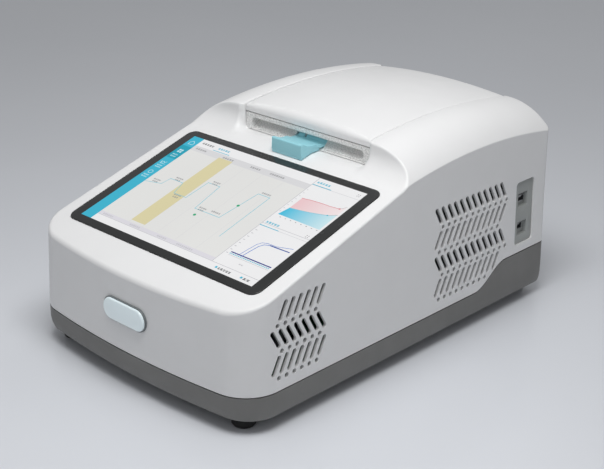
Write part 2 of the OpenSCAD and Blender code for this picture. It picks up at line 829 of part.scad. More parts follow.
// Two brackets: a knuckle round the pin, on a foot that runs forward under the well floor
module hinge_brackets() color(metal) {
    knuckle_r = 6.5;
    foot_z = notch_z - 4.6;
    for (s = sides) let (x0 = s * hinge_x - bracket_w / 2, x1 = s * hinge_x + bracket_w / 2) difference() {
        union() {
            rod_x(x0, x1, hinge_y, hinge_z, knuckle_r);
            box(x0, x1, hinge_y - knuckle_r, hinge_y + bracket_back, foot_z, hinge_z);
            box(x0, x1, hinge_y - bracket_reach, hinge_y + bracket_back, foot_z, foot_z + bracket_foot_t);
        }
        rod_x(x0 - 1, x1 + 1, hinge_y, hinge_z, hinge_pin_r);
    }
}

module hinge_pins() color(metal) {
    for (s = sides)
        rod_x(s * hinge_x - hinge_pin_half, s * hinge_x + hinge_pin_half, hinge_y, hinge_z, hinge_pin_r);
}

// ---- Latch ----

module latch_lever() color(teal) {
    difference() {
        union() {
            along_x(-latch_half, latch_half) polygon(concat(
                [[latch_front_y, 162.1]], arc([latch_front_y + 3, 166.6], 3, 180, 98, 5),
                [[lid_front_y, 173.2], [25.5, 173.6], [27, 171.5], [26, 168.2],
                [lid_front_y - 1, 168.2], [lid_front_y - 1, 166.1], [shelf_y, 166.1]]));
            box(-arm_half, arm_half, arm_y[0], arm_y[1], 154, 169);
        }
        latch_rod(latch_half + 1, latch_pin_r + running_gap);
        box(-11, -8, 19, 28, 166, 178);
    }
}

// A rod on the pivot line of the latch, half long to each side
module latch_rod(half, r) {
    rod_x(-half, half, latch_pivot[0], latch_pivot[1], r);
}

module latch_pin() color(metal) latch_rod(latch_half + 5.5, latch_pin_r);

module latch_spring() color(metal) {
    for (i = [0:2]) translate([-10.2 + i * 0.9, latch_pivot[0], latch_pivot[1]]) rotate([0, 90, 0])
        rotate_extrude($fn = 24) translate([2.9, 0]) circle(r = 0.35, $fn = 16);
}

module latch_keeper() color(metal) box(-6, 6, arm_y[0] + 0.5, arm_y[1], 152, 154);

module latch_magnet() color(metal) box(-7, 7, magnet_y[0], magnet_y[1], magnet_z[0], magnet_z[1]);

// ---- Block, heatsink and fans ----

module sample_block() color([0.78, 0.79, 0.8]) {
    x0 = -(well_columns - 1) / 2 * well_pitch;
    y0 = block_y - (well_rows - 1) / 2 * well_pitch;
    difference() {
        union() {
            mid_box(flange_w, flange_l, block_y, block_z0, block_z0 + flange_t);
            mid_box(block_w - 6, block_l - 6, block_y, block_z0 + flange_t - 1, block_top_z);
        }
        for (i = [0:well_columns - 1]) for (j = [0:well_rows - 1])
            translate([x0 + i * well_pitch, y0 + j * well_pitch, block_top_z - well_depth])
                cylinder(r1 = well_tip_r, r2 = well_r, h = well_depth + eps, $fn = 24);
        for (p = block_screw_places) rod_z(p, block_z0 - 1, block_z0 + flange_t + 1, 1.7);
    }
}

module block_gasket() color([0.2, 0.2, 0.22]) difference() {
    mid_box(block_w + 3.6, block_l + 3.6, block_y, block_z0 + flange_t, well_floor_z - 0.2);
    mid_box(block_w - 5.8, block_l - 5.8, block_y, block_z0, well_floor_z + 5);
}

module peltier_modules() color([0.92, 0.92, 0.9]) {
    for (i = [-1:1]) for (j = [-0.5, 0.5])
        translate([i * 40 - peltier_w / 2, block_y + j * 40.4 - peltier_w / 2, peltier_z0])
            cube([peltier_w, peltier_w, peltier_t]);
}

module heatsink() color([0.6, 0.61, 0.63]) {
    fin_pitch = (heatsink_w - fin_t) / (fin_n - 1);
    difference() {
        union() {
            mid_box(heatsink_w, heatsink_l, block_y, heatsink_z0, peltier_z0);
            for (i = [0:fin_n - 1]) translate([fin_pitch * (i - (fin_n - 1) / 2), 0, 0])
                mid_box(fin_t, heatsink_l, block_y, heatsink_z0 - fin_h, heatsink_z0 + eps);
        }
        for (p = block_screw_places) rod_z(p, heatsink_z0 + 0.5, heatsink_z0 + 20.5, 1.6);
    }
}

// Duct that leads the air from the fins to the fans
module heatsink_shroud() color(dark) {
    y0 = block_y + heatsink_l / 2 + 0.4;
    x1 = fan_xs[1] + fan_size / 2;
    z0 = fan_z - fan_size / 2;
    z1 = fan_z + fan_size / 2;
    difference() {
        box(-x1, x1, y0, fan_y0, z0, z1);
        box(2 - x1, x1 - 2, y0 - 1, fan_y0 + 1, z0 + 2, z1 - 2);
    }
}

module block_screws() color(metal) for (p = block_screw_places) {
    head_z = block_z0 + flange_t;
    rod_z(p, heatsink_z0 + 1, head_z + 1, 1.5);
    rod_z(p, head_z, head_z + 2.4, 3);
}

module fan_housing(x) color(dark) {
    half = fan_size / 2;
    difference() {
        box(x - half, x + half, fan_y0, fan_y1, fan_z - half, fan_z + half);
        rod_y(x, fan_y0 - 1, fan_y1 + 1, fan_z, fan_bore);
        for (h = fan_holes) rod_y(x + h[0], fan_y0 - 1, fan_y1 + 1, fan_z + h[1], 1.8);
    }
    // hub held by three spokes, with the bearing tube of the rotor
    rod_y(x, fan_y1 - 4, fan_y1 - 0.4, fan_z, hub_r);
    for (a = [90, 210, 330]) translate([x, 0, fan_z]) rotate([0, a, 0])
        box(hub_r - 2, fan_bore + 1, fan_y1 - 3.6, fan_y1 - 1, -2, 2);
    difference() {
        rod_y(x, fan_y1 - 18, fan_y1 - 3, fan_z, 4);
        rod_y(x, fan_y1 - 19, fan_y1 - 4, fan_z, 1.5 + running_gap);
    }
}

module fan_rotor(x) color([0.16, 0.16, 0.17]) {
    blades = 7;
    difference() {
        rod_y(x, fan_y0 + 1.5, fan_y1 - 5, fan_z, hub_r);
        rod_y(x, fan_y0 + 3.5, fan_y1 - 4, fan_z, hub_r - 2);
    }
    rod_y(x, fan_y0 + 2, fan_y1 - 4.6, fan_z, 1.5);
    for (i = [0:blades - 1]) translate([x, fan_y0 + 10.5, fan_z]) rotate([0, 360 * i / blades, 0])
        translate([hub_r + 8, 0, 0]) rotate([38, 0, 0]) cube([18, 1.6, 14], center = true);
}

// Wire guards: rings and two struts that end in an eye under each screw
module fan_guards() color(metal) for (x = fan_xs) {
    wire = 1.1;
    reach = fan_hole * sqrt(2);
    for (r = [10, 17, 24, 31]) guard_ring(x, r, wire);
    for (a = [45, 135]) translate([x, 0, fan_z]) rotate([0, a, 0])
        box(2.4 - reach, reach - 2.4, panel_y1, panel_y1 + wire, -0.7, 0.7);
    for (h = fan_holes) difference() {
        rod_y(x + h[0], panel_y1, panel_y1 + wire, fan_z + h[1], 3.4);
        rod_y(x + h[0], panel_y1 - 1, panel_y1 + wire + 1, fan_z + h[1], 2.1);
    }
}

// A flat ring of radius r round the axis of a fan
module guard_ring(x, r, wire) {
    difference() {
        rod_y(x, panel_y1, panel_y1 + wire, fan_z, r + wire / 2);
        rod_y(x, panel_y1 - 1, panel_y1 + wire + 1, fan_z, r - wire / 2);
    }
}

module fan_screws() color(metal) for (x = fan_xs) for (h = fan_holes) {
    rod_y(x + h[0], panel_y1 - 16, panel_y1 + 1.2, fan_z + h[1], 1.7);
    rod_y(x + h[0], panel_y1 + 1.1, panel_y1 + 2.2, fan_z + h[1], 3);
}

// ---- Power and electronics ----

module power_supply() color(metal) {
    x = supply_at[0];
    y = supply_at[1];
    difference() {
        box(x, x + supply[0], y, y + supply[1], floor_z + 4, floor_z + 4 + supply[2]);
        for (i = [0:9]) for (j = [0:3])
            translate([x + 14 + j * 18, y + 16 + i * 15, floor_z + 2 + supply[2]])
            cylinder(r = 3, h = 6, $fn = 6);
    }
    for (px = [8, supply[0] - 8]) for (py = [8, supply[1] - 8])
        rod_z([x + px, y + py], floor_z, floor_z + 4.5, 3);
}

module main_board() color([0.08, 0.32, 0.2]) difference() {
    translate([board_x, 0, 0]) mid_box(board_w, board_l, board_y, board_z, board_z + board_t);
    for (p = standoff_places) rod_z(p, board_z - 1, board_z + 3, 1.6);
}

// Capacitors, two finned heatsinks, chips and the socket of the display cable
module board_components() {
    sink_fins = 7;
    fin_step = 4;
    translate([board_x, board_y, board_z + board_t]) {
        for (i = [0:4]) color([0.7, 0.7, 0.72]) rod_z([i * 14 - 56, 46], 0, 16, 5);
        for (x = [-52, -2]) color([0.25, 0.25, 0.27]) {
            box(x, x + 40, -8, -6.6 + (sink_fins - 1) * fin_step, 0, 2.01);
            for (k = [0:sink_fins - 1]) box(x, x + 40, -8 + k * fin_step, -6.6 + k * fin_step, 2, 20);
        }
        for (i = [0:3]) color(dark) box(i * 26 - 56, i * 26 - 40, -46, -30, 0, 1.8);
    }
    color([0.9, 0.9, 0.86])
        box(cable_x - 1, cable_x + 27, cable_y - 2.5, cable_y + 3.5, board_z + board_t, board_z + 8);
}

module board_standoffs() color(metal) for (p = standoff_places) {
    rod_z(p, floor_z, board_z, 3);
    rod_z(p, floor_z, board_z + board_t + 1, 1.5);
    rod_z(p, board_z + board_t, board_z + board_t + 1.8, 2.8);
}

// Inlet module: flange, three-pin socket, and openings for the switch and the fuse drawer
module mains_inlet() color(dark) {
    w = inlet_w / 2 - 0.3;
    h = inlet_h / 2 - 0.3;
    lip_y = panel_y1 + 1.1;
    difference() {
        union() {
            box(inlet_x - w, inlet_x + w, panel_y1 - 30, lip_y, inlet_z - h, inlet_z + h);
            box(inlet_x - w - 2.5, inlet_x + w + 2.5, panel_y1, lip_y, inlet_z - h - 2, inlet_z + h + 2);
        }
        // socket for a C13 connector
        box(inlet_x - 12.2, inlet_x + 12.2, panel_y1 - 16, lip_y + 1, inlet_z - h + 1.6, inlet_z - h + 18.2);
        // fuse drawer and rocker
        box(inlet_x - 11, inlet_x + 11, panel_y1 - 20, lip_y + 1, inlet_z - 4.2, inlet_z + 2.8);
        box(inlet_x - 10.5, inlet_x + 10.5, panel_y1 - 12, lip_y + 1, inlet_z + 5.2, inlet_z + h - 1.8);
    }
    for (pin = [[-7, 7], [0, 10.4], [7, 7]]) translate([inlet_x + pin[0], 0, inlet_z - h + pin[1]])
        box(-1, 1, panel_y1 - 16.5, panel_y1 - 4, 0, 4);
    color(metal) rod_x(inlet_x - 10.6, inlet_x + 10.6, rocker_y, rocker_z, 1.2);
}

module power_rocker() color([0.1, 0.1, 0.11]) difference() {
    along_x(inlet_x - 9.8, inlet_x + 9.8) translate([rocker_y, rocker_z])
        polygon([[-3, -4], [3.4, -6.6], [5.2, -6.4], [4.1, 0], [2.9, 6.6], [1.2, 6.6], [-3, 4]]);
    rod_x(inlet_x - 12, inlet_x + 12, rocker_y, rocker_z, 1.2 + running_gap);
}

module fuse_drawer() color([0.16, 0.16, 0.17]) {
    difference() {
        box(inlet_x - 10.7, inlet_x + 10.7, panel_y1 - 18, panel_y1 + 0.9, inlet_z - 3.9, inlet_z + 2.5);
        box(inlet_x - 8.6, inlet_x + 8.6, panel_y1 - 15, panel_y1 - 3, inlet_z - 2.6, inlet_z + 5);
        box(inlet_x - 3, inlet_x + 3, panel_y1 - 0.4, panel_y1 + 2, inlet_z + 0.6, inlet_z + 5);
    }
    // the two fuses
    color([0.9, 0.9, 0.88]) for (x = [-4.4, 4.4])
        rod_y(inlet_x + x, panel_y1 - 14.9, panel_y1 - 3.1, inlet_z - 0.2, 2.3);
}

module panel_screws() color(metal) for (x = [-panel_screw_x, panel_screw_x]) for (z = panel_screw_zs) {
    rod_y(x, flange_y0 - 4, rear_y - 1.3, z, 1.5);
    rod_y(x, rear_y - 1.31, rear_y - 0.2, z, 2.9);
}

// Wires from the inlet along the right wall to the board and across to the supply
module power_harness() color([0.15, 0.15, 0.16]) {
    r = 2.4;
    x = harness_x;
    y0 = harness_y[0];
    y1 = harness_y[1];
    z0 = harness_z[0];
    z1 = harness_z[1];
    rod_y(x, y0, y1, z0, r);
    translate([x, y0, z0]) sphere(r = r);
    translate([x, y1, z0]) sphere(r = r);
    rod_x(supply_at[0] + supply[0], x, y0, z0, r);
    translate([x, y1, z0]) cylinder(r = r, h = z1 - z0);
    translate([x, y1, z1]) sphere(r = r);
    rod_x(inlet_x - 6, x, y1, z1, r);
}

base_tray();
upper_casing();
rear_panel();
lid_well();
front_badge();
port_bezel();
usb_socket(port_zs[1]);  // usb_socket_upper
usb_socket(port_zs[0]);  // usb_socket_lower
foot(-foot_x, foot_ys[0]);  // foot_front_left
foot(foot_x, foot_ys[0]);  // foot_front_right
foot(-foot_x, foot_ys[1]);  // foot_rear_left
foot(foot_x, foot_ys[1]);  // foot_rear_right
foot_screws();
casing_screws();
touch_glass();
lcd_module();
display_bracket();
display_board();
display_cable();
lid_cover();
lid_frame();
lid_insulation();
lid_screws();
heated_plate();
plate_guide_pins();
plate_springs();
hinge_brackets();
hinge_pins();
latch_lever();
latch_pin();
latch_spring();
latch_keeper();
latch_magnet();
sample_block();
block_gasket();
peltier_modules();
heatsink();
heatsink_shroud();
block_screws();
fan_housing(fan_xs[0]);  // fan_housing_left
fan_housing(fan_xs[1]);  // fan_housing_right
fan_rotor(fan_xs[0]);  // fan_rotor_left
fan_rotor(fan_xs[1]);  // fan_rotor_right
fan_guards();
fan_screws();
power_supply();
main_board();
board_components();
board_standoffs();
mains_inlet();
power_rocker();
fuse_drawer();
panel_screws();
power_harness();
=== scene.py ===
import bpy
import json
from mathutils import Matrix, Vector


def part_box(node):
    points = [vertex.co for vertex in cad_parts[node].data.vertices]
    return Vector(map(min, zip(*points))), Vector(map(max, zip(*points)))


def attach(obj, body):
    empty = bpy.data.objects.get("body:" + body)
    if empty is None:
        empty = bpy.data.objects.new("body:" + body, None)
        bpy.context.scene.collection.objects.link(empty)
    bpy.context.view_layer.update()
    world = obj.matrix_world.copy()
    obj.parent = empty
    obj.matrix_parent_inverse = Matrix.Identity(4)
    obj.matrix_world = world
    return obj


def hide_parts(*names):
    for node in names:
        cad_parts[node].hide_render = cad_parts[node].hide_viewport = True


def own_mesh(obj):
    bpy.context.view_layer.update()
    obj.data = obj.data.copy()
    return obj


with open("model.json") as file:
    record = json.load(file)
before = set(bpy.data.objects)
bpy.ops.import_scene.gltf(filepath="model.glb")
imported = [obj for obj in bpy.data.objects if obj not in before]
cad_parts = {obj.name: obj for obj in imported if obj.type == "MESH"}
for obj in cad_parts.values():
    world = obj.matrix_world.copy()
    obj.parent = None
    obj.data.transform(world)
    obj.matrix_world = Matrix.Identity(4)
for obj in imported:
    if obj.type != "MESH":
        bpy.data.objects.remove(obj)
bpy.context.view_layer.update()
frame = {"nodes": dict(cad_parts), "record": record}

import json
import math

import bmesh
import bpy
import numpy as np
from mathutils import Matrix, Vector

MM = 0.001
nodes = frame["nodes"]

# ---------------- sizes shared with the CAD model, mm

LO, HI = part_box("base_tray")
HALF_W = HI.x / MM
REAR_Y = HI.y / MM
FRONT_Y = LO.y / MM
SEAM_Z, REAR_SEAM_Z = 34.4, 54.6
SEAM_RISE_Y, SEAM_RISE_LEN = 96, 46
LEAN = math.tan(math.radians(2.4))
FRONT_BOW, CORNER_R, REAR_R = 11.2, 34.7, 9.0
FRONT_R = (HALF_W ** 2 + FRONT_BOW ** 2) / (2 * FRONT_BOW)
FRONT_CY = FRONT_Y + FRONT_R
CORNER_X = HALF_W - CORNER_R
CORNER_Y = FRONT_CY - math.sqrt((FRONT_R - CORNER_R) ** 2 - CORNER_X ** 2)
SLOPE = 16.75
DECK_K = math.tan(math.radians(SLOPE))
DECK_Y, DECK_Z, SHELF_Z = -97.3, 136.5, 165.4
ARCH_Y, ARCH_Z = 106.8, -463.6
CROWN_R, LID_DROP, LID_HALF = 664.5, 4.5, 77.5
SHOULDER_X, SHOULDER_R, EDGE_X, EDGE_R = 83.0, 660.8, 133.0, 638.0
CURVE_R = ((EDGE_X - SHOULDER_X) ** 2 + (SHOULDER_R - EDGE_R) ** 2) / (2 * (SHOULDER_R - EDGE_R))
HUMP_Y, COVE_R = 5.4, 18.0
OPEN_X = LID_HALF + 0.8
WALL = 2.6
SEAM_UP, SEAM_DOWN = 0.8, 0.3
DECK_SOFT = 5                           # height over which the deck runs into the shelf
FRONT_SHARE, SIDE_SHARE = 0.7, 0.3      # of the lean, in front and added at the sides
FRONT_ROLL, SIDE_ROLL = 5.0, 2.0        # radii of the casing's top edge
LEDGE_Z = 162.8
PANEL_TOP = 140


def smooth(t):
    t = np.clip(t, 0, 1)
    return t * t * (3 - 2 * t)


def seam_at(y):
    return SEAM_Z + (REAR_SEAM_Z - SEAM_Z) * smooth((y - SEAM_RISE_Y) / SEAM_RISE_LEN)


def radius_at(x):
    """Radius of the arch of the top at x."""
    x = np.abs(x)
    lid = CROWN_R - LID_DROP * (x / LID_HALF) ** 2
    t = np.clip(x - SHOULDER_X, 0, CURVE_R * 0.97)
    side = SHOULDER_R - CURVE_R + np.sqrt(CURVE_R ** 2 - t ** 2)
    return np.where(x <= LID_HALF, lid, side)


def arch(x, y):
    return ARCH_Z + np.sqrt(radius_at(x) ** 2 - (y - ARCH_Y) ** 2)


def base_top(y):
    """The deck, which runs softly into the level shelf."""
    a = DECK_Z + DECK_K * (y - DECK_Y)
    h = np.clip(DECK_SOFT - np.abs(a - SHELF_Z), 0, None) / DECK_SOFT
    return np.minimum(a, SHELF_Z) - h * h * DECK_SOFT / 4 * 0.5


def inset(z):
    """How far a side wall has leant in at height z."""
    return np.clip(z - SEAM_Z, 0, None) * LEAN


def lean_share(nx, ny):
    """The share of the lean a wall has: all at the sides, less in front, none at the flat back."""
    return FRONT_SHARE + SIDE_SHARE * float(smooth(abs(nx) / 0.6)) if ny >= 0 else abs(nx)


# ---------------- mesh helpers


def new_mesh(name, verts, faces):
    me = bpy.data.meshes.new(name)
    points = [tuple(v) for v in np.asarray(verts, float) * MM]
    me.from_pydata(points, [], [tuple(int(i) for i in f) for f in faces])
    me.validate()
    ob = bpy.data.objects.new(name, me)
    bpy.context.scene.collection.objects.link(ob)
    return ob


def clean(ob, merge):
    """Merge points closer than this many mm and turn the faces outward."""
    bm = bmesh.new()
    bm.from_mesh(ob.data)
    bmesh.ops.remove_doubles(bm, verts=bm.verts, dist=merge * MM)
    bmesh.ops.dissolve_degenerate(bm, edges=bm.edges, dist=0.004 * MM)
    bmesh.ops.recalc_face_normals(bm, faces=bm.faces)
    if max(bm.faces, key=lambda f: f.calc_center_median().z).normal.z < 0:
        bmesh.ops.reverse_faces(bm, faces=bm.faces)
    bm.to_mesh(ob.data)
    bm.free()


def apply(ob):
    dg = bpy.context.evaluated_depsgraph_get()
    me = bpy.data.meshes.new_from_object(ob.evaluated_get(dg))
    ob.modifiers.clear()
    ob.data = me


def thicken(ob, t):
    m = ob.modifiers.new("t", "SOLIDIFY")
    m.thickness = t * MM
    m.offset = -1
    m.use_rim = True
    apply(ob)


def cut(ob, cutter):
    m = ob.modifiers.new("c", "BOOLEAN")
    m.operation = "DIFFERENCE"
    m.solver = "EXACT"
    m.object = cutter
    apply(ob)
    bpy.data.objects.remove(cutter)


def shade(ob, angle):
    me = ob.data
    for p in me.polygons:
        p.use_smooth = True
    me.set_sharp_from_angle(angle=math.radians(angle))


def bevel(ob, width, segments=3, angle=35):
    m = ob.modifiers.new("b", "BEVEL")
    m.width = width * MM
    m.segments = segments
    m.limit_method = "ANGLE"
    m.angle_limit = math.radians(angle)
    apply(ob)


def prism(pts, frame_fn, a, b):
    """A closed prism of the outline pts between depths a and b, placed by frame_fn(u, v, w)."""
    n = len(pts)
    v = [frame_fn(p[0], p[1], a) for p in pts] + [frame_fn(p[0], p[1], b) for p in pts]
    f = [tuple(range(n))[::-1], tuple(range(n, 2 * n))]
    f += [(i, (i + 1) % n, n + (i + 1) % n, n + i) for i in range(n)]
    return v, f


def stack(parts):
    """Several (points, faces) parts as one."""
    v, f = [], []
    for pv, pf in parts:
        f += [tuple(i + len(v) for i in q) for q in pf]
        v += list(pv)
    return v, f


def merge_parts(name, parts):
    ob = new_mesh(name, *stack(parts))
    clean(ob, 0.0005)
    return ob


def arc(cx, cy, r, start, n, sweep=90):
    """n + 1 points of an arc, from the angle start on, in degrees."""
    angles = [math.radians(start + sweep * i / n) for i in range(n + 1)]
    return [(cx + r * math.cos(a), cy + r * math.sin(a)) for a in angles]


def round_rect(w, h, r, n=8):
    x, y = w / 2 - r, h / 2 - r
    return (arc(x, y, r, 0, n) + arc(r - w / 2, y, r, 90, n)
            + arc(r - w / 2, r - h / 2, r, 180, n) + arc(x, r - h / 2, r, 270, n))


# ---------------- casing


def wall_point(cx, cy, r, a):
    """A point of a round upright wall and its inward direction: x, y, nx, ny."""
    return cx + r * math.cos(a), cy + r * math.sin(a), -math.cos(a), -math.sin(a)


def outline_half():
    """The plan outline from the middle of the front to the side: x, y, nx, ny, share of the corner."""
    out = []
    a1 = math.atan2(CORNER_Y - FRONT_CY, CORNER_X)
    for i in range(27):
        a = -math.pi / 2 + (a1 + math.pi / 2) * i / 26
        out.append((*wall_point(0, FRONT_CY, FRONT_R, a), 0.0))
    for i in range(1, 19):
        out.append((*wall_point(CORNER_X, CORNER_Y, CORNER_R, a1 - a1 * i / 18), i / 18))
    return out


STEP, KERNEL, CREST_SOFT = 0.3, 16, 1.35      # spacing, half width and size of the crest's rounding
CREST_PULL, CREST_NEAR = 2.2, 5.0             # how much closer rows lie near the crest, and how near


def corner_profile(base_fn, top_fn, r_f, reach, count):
    """Section through the front of a shoulder, as (n, z): n is the distance in front of its wall."""
    pts = [(n, base_fn(n)) for n in np.arange(reach, r_f, -0.5)]
    for a in np.linspace(0, 90, 46):
        n = r_f - r_f * math.sin(math.radians(a))
        z = r_f - r_f * math.cos(math.radians(a))
        pts.append((n, base_fn(n) + z))
    out = []
    for n, z in pts:
        if z > top_fn(n) - 0.001:
            break
        out.append((n, z))
    n0 = out[-1][0]
    if n0 < 0.3:
        z0, z1 = out[-1][1], top_fn(0.0)
        out += [(0.0, z) for z in np.arange(z0 + 0.4, z1, 0.4)]
        n0 = 0.0
    out += [(n, top_fn(n)) for n in np.arange(n0, -5.01, -0.4)]
    p = np.array(out)
    s = np.concatenate([[0], np.cumsum(np.hypot(*np.diff(p, axis=0).T))])
    # even spacing, then rounding of the crest
    u = np.arange(0, s[-1], STEP)
    q = np.stack([np.interp(u, s, p[:, 0]), np.interp(u, s, p[:, 1])], 1)
    k = np.exp(-0.5 * (np.arange(-KERNEL, KERNEL + 1) * STEP / CREST_SOFT) ** 2)
    k /= k.sum()
    pad = np.vstack([2 * q[0] - q[KERNEL:0:-1], q, 2 * q[-1] - q[-2:-KERNEL - 2:-1]])
    q = np.stack([np.convolve(pad[:, i], k, "valid") for i in (0, 1)], 1)
    # rows closer together near the crest
    crest = s[np.argmin(np.abs(p[:, 0] - n0) + np.abs(p[:, 1] - top_fn(n0)))]
    w = 1 + CREST_PULL * np.exp(-((u - crest) / CREST_NEAR) ** 2)
    c = np.concatenate([[0], np.cumsum((w[1:] + w[:-1]) / 2)])
    uu = np.interp(np.linspace(0, c[-1], count), c, u)
    return np.stack([np.interp(uu, u, q[:, 0]), np.interp(uu, u, q[:, 1])], 1)


INNER_R = 5.0
CX, CY = OPEN_X + INNER_R, HUMP_Y + INNER_R   # centre of the rounded corner of the shoulder
REACH = 35.8                            # how far the cove's lines run in front of the shoulder
M = 64                                  # lines across the cove
N1, N2, N3 = 26, 16, 10                 # columns: side to corner, round the corner, across the middle
NW, NW1, NA = 16, 10, 9                 # rows: wall, wall below the panel's top, rolled edge
REF_X = 132.5


def build_casing():
    verts, faces = [], []

    def add(p):
        verts.append(p)
        return len(verts) - 1

    stations = outline_half()
    for y in np.arange(CORNER_Y + 5, CY - INNER_R - REACH - 1, 5.0):
        stations.append((HALF_W, y, -1.0, 0.0, 1.0))

    def cols(x_in):
        """Column places from x_in to the shoulder's corner."""
        return x_in + (CX - x_in) * (np.linspace(0, 1, N1) ** 0.9)

    out_x = CX - INNER_R - REACH
    middle = [CX + (out_x - CX) * np.linspace(0, 1, N2 // 2 + 1)[1:], np.linspace(out_x, 0, N3 + 1)[1:]]

    def top_line(x_in, y_in, y_mid, w):
        """Deck points from the end of the rolled edge to the middle."""
        ref = np.concatenate([cols(REF_X), *middle]) / REF_X
        x = x_in * ref * (1 - w) + np.concatenate([cols(x_in), *middle]) * w
        y = y_mid + (y_in - y_mid) * (x / x_in if x_in > 1e-6 else np.linspace(1, 0, len(x)))
        return np.stack([x, y, base_top(y)], 1)

    def edge(x0, y0, nx, ny, z_fn, r):
        """Wall rows and the rolled edge of one station, from the seam up."""
        w = lean_share(nx, ny)
        z_e = z_fn(0.0)
        for _ in range(3):
            z_e = z_fn(inset(z_e) * w)
        ins = inset(z_e) * w
        slope = (z_fn(ins + 2.0) - z_fn(ins)) / 2.0
        phi = math.pi / 2 - math.atan(slope)
        s0 = z_e - r * math.tan(phi / 2)
        zs = seam_at(y0) + SEAM_UP
        if y0 > 120:
            z = np.concatenate([np.linspace(zs, PANEL_TOP, NW1 + 1),
                                np.linspace(PANEL_TOP, s0, NW - NW1 + 1)[1:]])
        else:
            z = np.linspace(zs, s0, NW + 1)
        rows = [(inset(zz) * w, zz) for zz in z]
        for i in range(1, NA + 1):
            a = phi * i / NA
            rows.append((inset(s0) * w + (r - r * math.cos(a)), s0 + r * math.sin(a)))
        return [(x0 + nx * d, y0 + ny * d, zz) for d, zz in rows]

    columns = []          # the vertices of each line, from the seam to the middle
    for x0, y0, nx, ny, share in stations:
        r = FRONT_ROLL * (1 - smooth(share)) + SIDE_ROLL * smooth(share)
        pts = edge(x0, y0, nx, ny, lambda d: float(base_top(y0 + ny * d)), r)
        x_in, y_in, _ = pts[-1]
        w = float(smooth((y0 + 120) / 80))
        y_mid = y_in if y0 > CORNER_Y + 1 else max(y_in, -176 + 0.35 * len(columns))
        line = top_line(max(x_in, 0.0), y_in, y_mid, w)
        columns.append([add(p) for p in pts + [tuple(p) for p in line[1:]]])

    def straight_profile(x):
        return corner_profile(lambda n: float(base_top(HUMP_Y - n)),
                              lambda n: float(arch(x, HUMP_Y - n)), COVE_R, REACH, M)

    edge_x = HALF_W - inset(170.0)
    prof_side = straight_profile(edge_x - 1.5)
    xs = cols(edge_x - 1.2)
    profs = [straight_profile(x) for x in xs]
    corner = []
    for i in range(1, N2 + 1):
        th = math.radians(270 - 90 * i / N2)
        r_f = INNER_R + (COVE_R - INNER_R) * math.sin(math.pi / 2 * (1 - i / N2)) ** 2
        dx, dy = math.cos(th), math.sin(th)
        p = corner_profile(lambda n: float(base_top(CY + (INNER_R + n) * dy)),
                           lambda n: float(arch(CX + (INNER_R + n) * dx, CY + (INNER_R + n) * dy)),
                           r_f, REACH, M)
        row = []
        sq = 1 / max(abs(dx), abs(dy))
        for n, z in p:
            # the lines are round near the corner and square where they meet the deck
            rho = INNER_R + n
            b = float(smooth((rho - 24) / (REACH + INNER_R - 24)))
            m = 1 + (sq - 1) * b
            X, Y = CX + rho * m * dx, CY + rho * m * dy
            if n > r_f + 0.5:
                z = float(base_top(Y))
            row.append((X, Y, z))
        corner.append(row)
    cove_cols = []
    for j in range(M):
        zx = np.array([profs[i][j][1] for i in range(N1)])
        yx = np.array([HUMP_Y - profs[i][j][0] for i in range(N1)])

        def height(d):
            """Height along this line at a distance in from the side plane."""
            if d > HALF_W - xs[0]:
                return float(np.interp(d, HALF_W - xs, zx))
            return float(zx[0] + (zx[0] - zx[1]) / (xs[0] - xs[1]) * (HALF_W - d - xs[0]))

        pts = edge(HALF_W, HUMP_Y - prof_side[j][0], -1.0, 0.0, height, SIDE_ROLL)
        x_last = pts[-1][0]
        for i in range(1, N1):
            x = min(xs[i], x_last - 0.2 * i) if xs[i] > x_last - 0.3 else xs[i]
            pts.append((x, yx[i], zx[i]))
        cove_cols.append([add(p) for p in pts + [c[j] for c in corner]])

    # rows behind the cove, to the back: wall point, y of the inner end if it is fixed, edge radius
    last = corner[-1]
    ks = [j for j in range(M) if last[j][0] >= OPEN_X - 0.6]
    inner = [(last[j][0], float(arch(last[j][0], CY)) - last[j][2]) for j in ks][::-1]
    rear_x, rear_y = HALF_W - REAR_R, REAR_Y - REAR_R
    rear_pts = [((HALF_W, y, -1.0, 0.0), y, 2.0)
                for y in np.concatenate([np.arange(CY + 1.2, 196, 4.0), np.linspace(196, rear_y, 3)])]
    for i in range(1, 8):
        a = math.pi / 2 * i / 7
        rear_pts.append((wall_point(rear_x, rear_y, REAR_R, a), rear_y + 3.5 * i / 7, 2.2))
    for x in np.linspace(rear_x, OPEN_X, 13)[1:]:
        rear_pts.append(((x, REAR_Y, 0.0, -1.0), None, 2.4))
    rear_cols = []
    for (x0, y0, nx, ny), yt, r in rear_pts:
        pts = edge(x0, y0, nx, ny, lambda d: float(arch(x0 + nx * d, y0 + ny * d)), r)
        x_in, y_in, _ = pts[-1]
        if yt is None:
            yt = y_in - 2.6 * ((x0 - OPEN_X) / (HALF_W - REAR_R - OPEN_X))
        x_t = min(CX, OPEN_X + (x_in - OPEN_X) * 0.999)
        g = np.linspace(0, 1, N1) ** 0.9
        for i in range(1, N1):
            x = x_in + (x_t - x_in) * g[i]
            y = y_in + (yt - y_in) * g[i]
            pts.append((x, y, float(arch(x, y))))
        for xi, drop in inner:
            fx = (xi - OPEN_X) / (CX - OPEN_X)
            x = OPEN_X + (x_t - OPEN_X) * fx
            pts.append((x, yt, float(arch(x, yt)) - drop))
        pts.append((OPEN_X, yt, LEDGE_Z))
        rear_cols.append([add(p) for p in pts])
    mid = []
    for x in np.linspace(OPEN_X, 0, 12)[1:]:
        z = np.linspace(seam_at(REAR_Y) + SEAM_UP, PANEL_TOP, NW1 + 1)
        mid.append([add((x, REAR_Y, zz)) for zz in z])

    def strip(a, b, n=None):
        n = n or min(len(a), len(b))
        for i in range(n - 1):
            faces.append((a[i], a[i + 1], b[i + 1], b[i]))

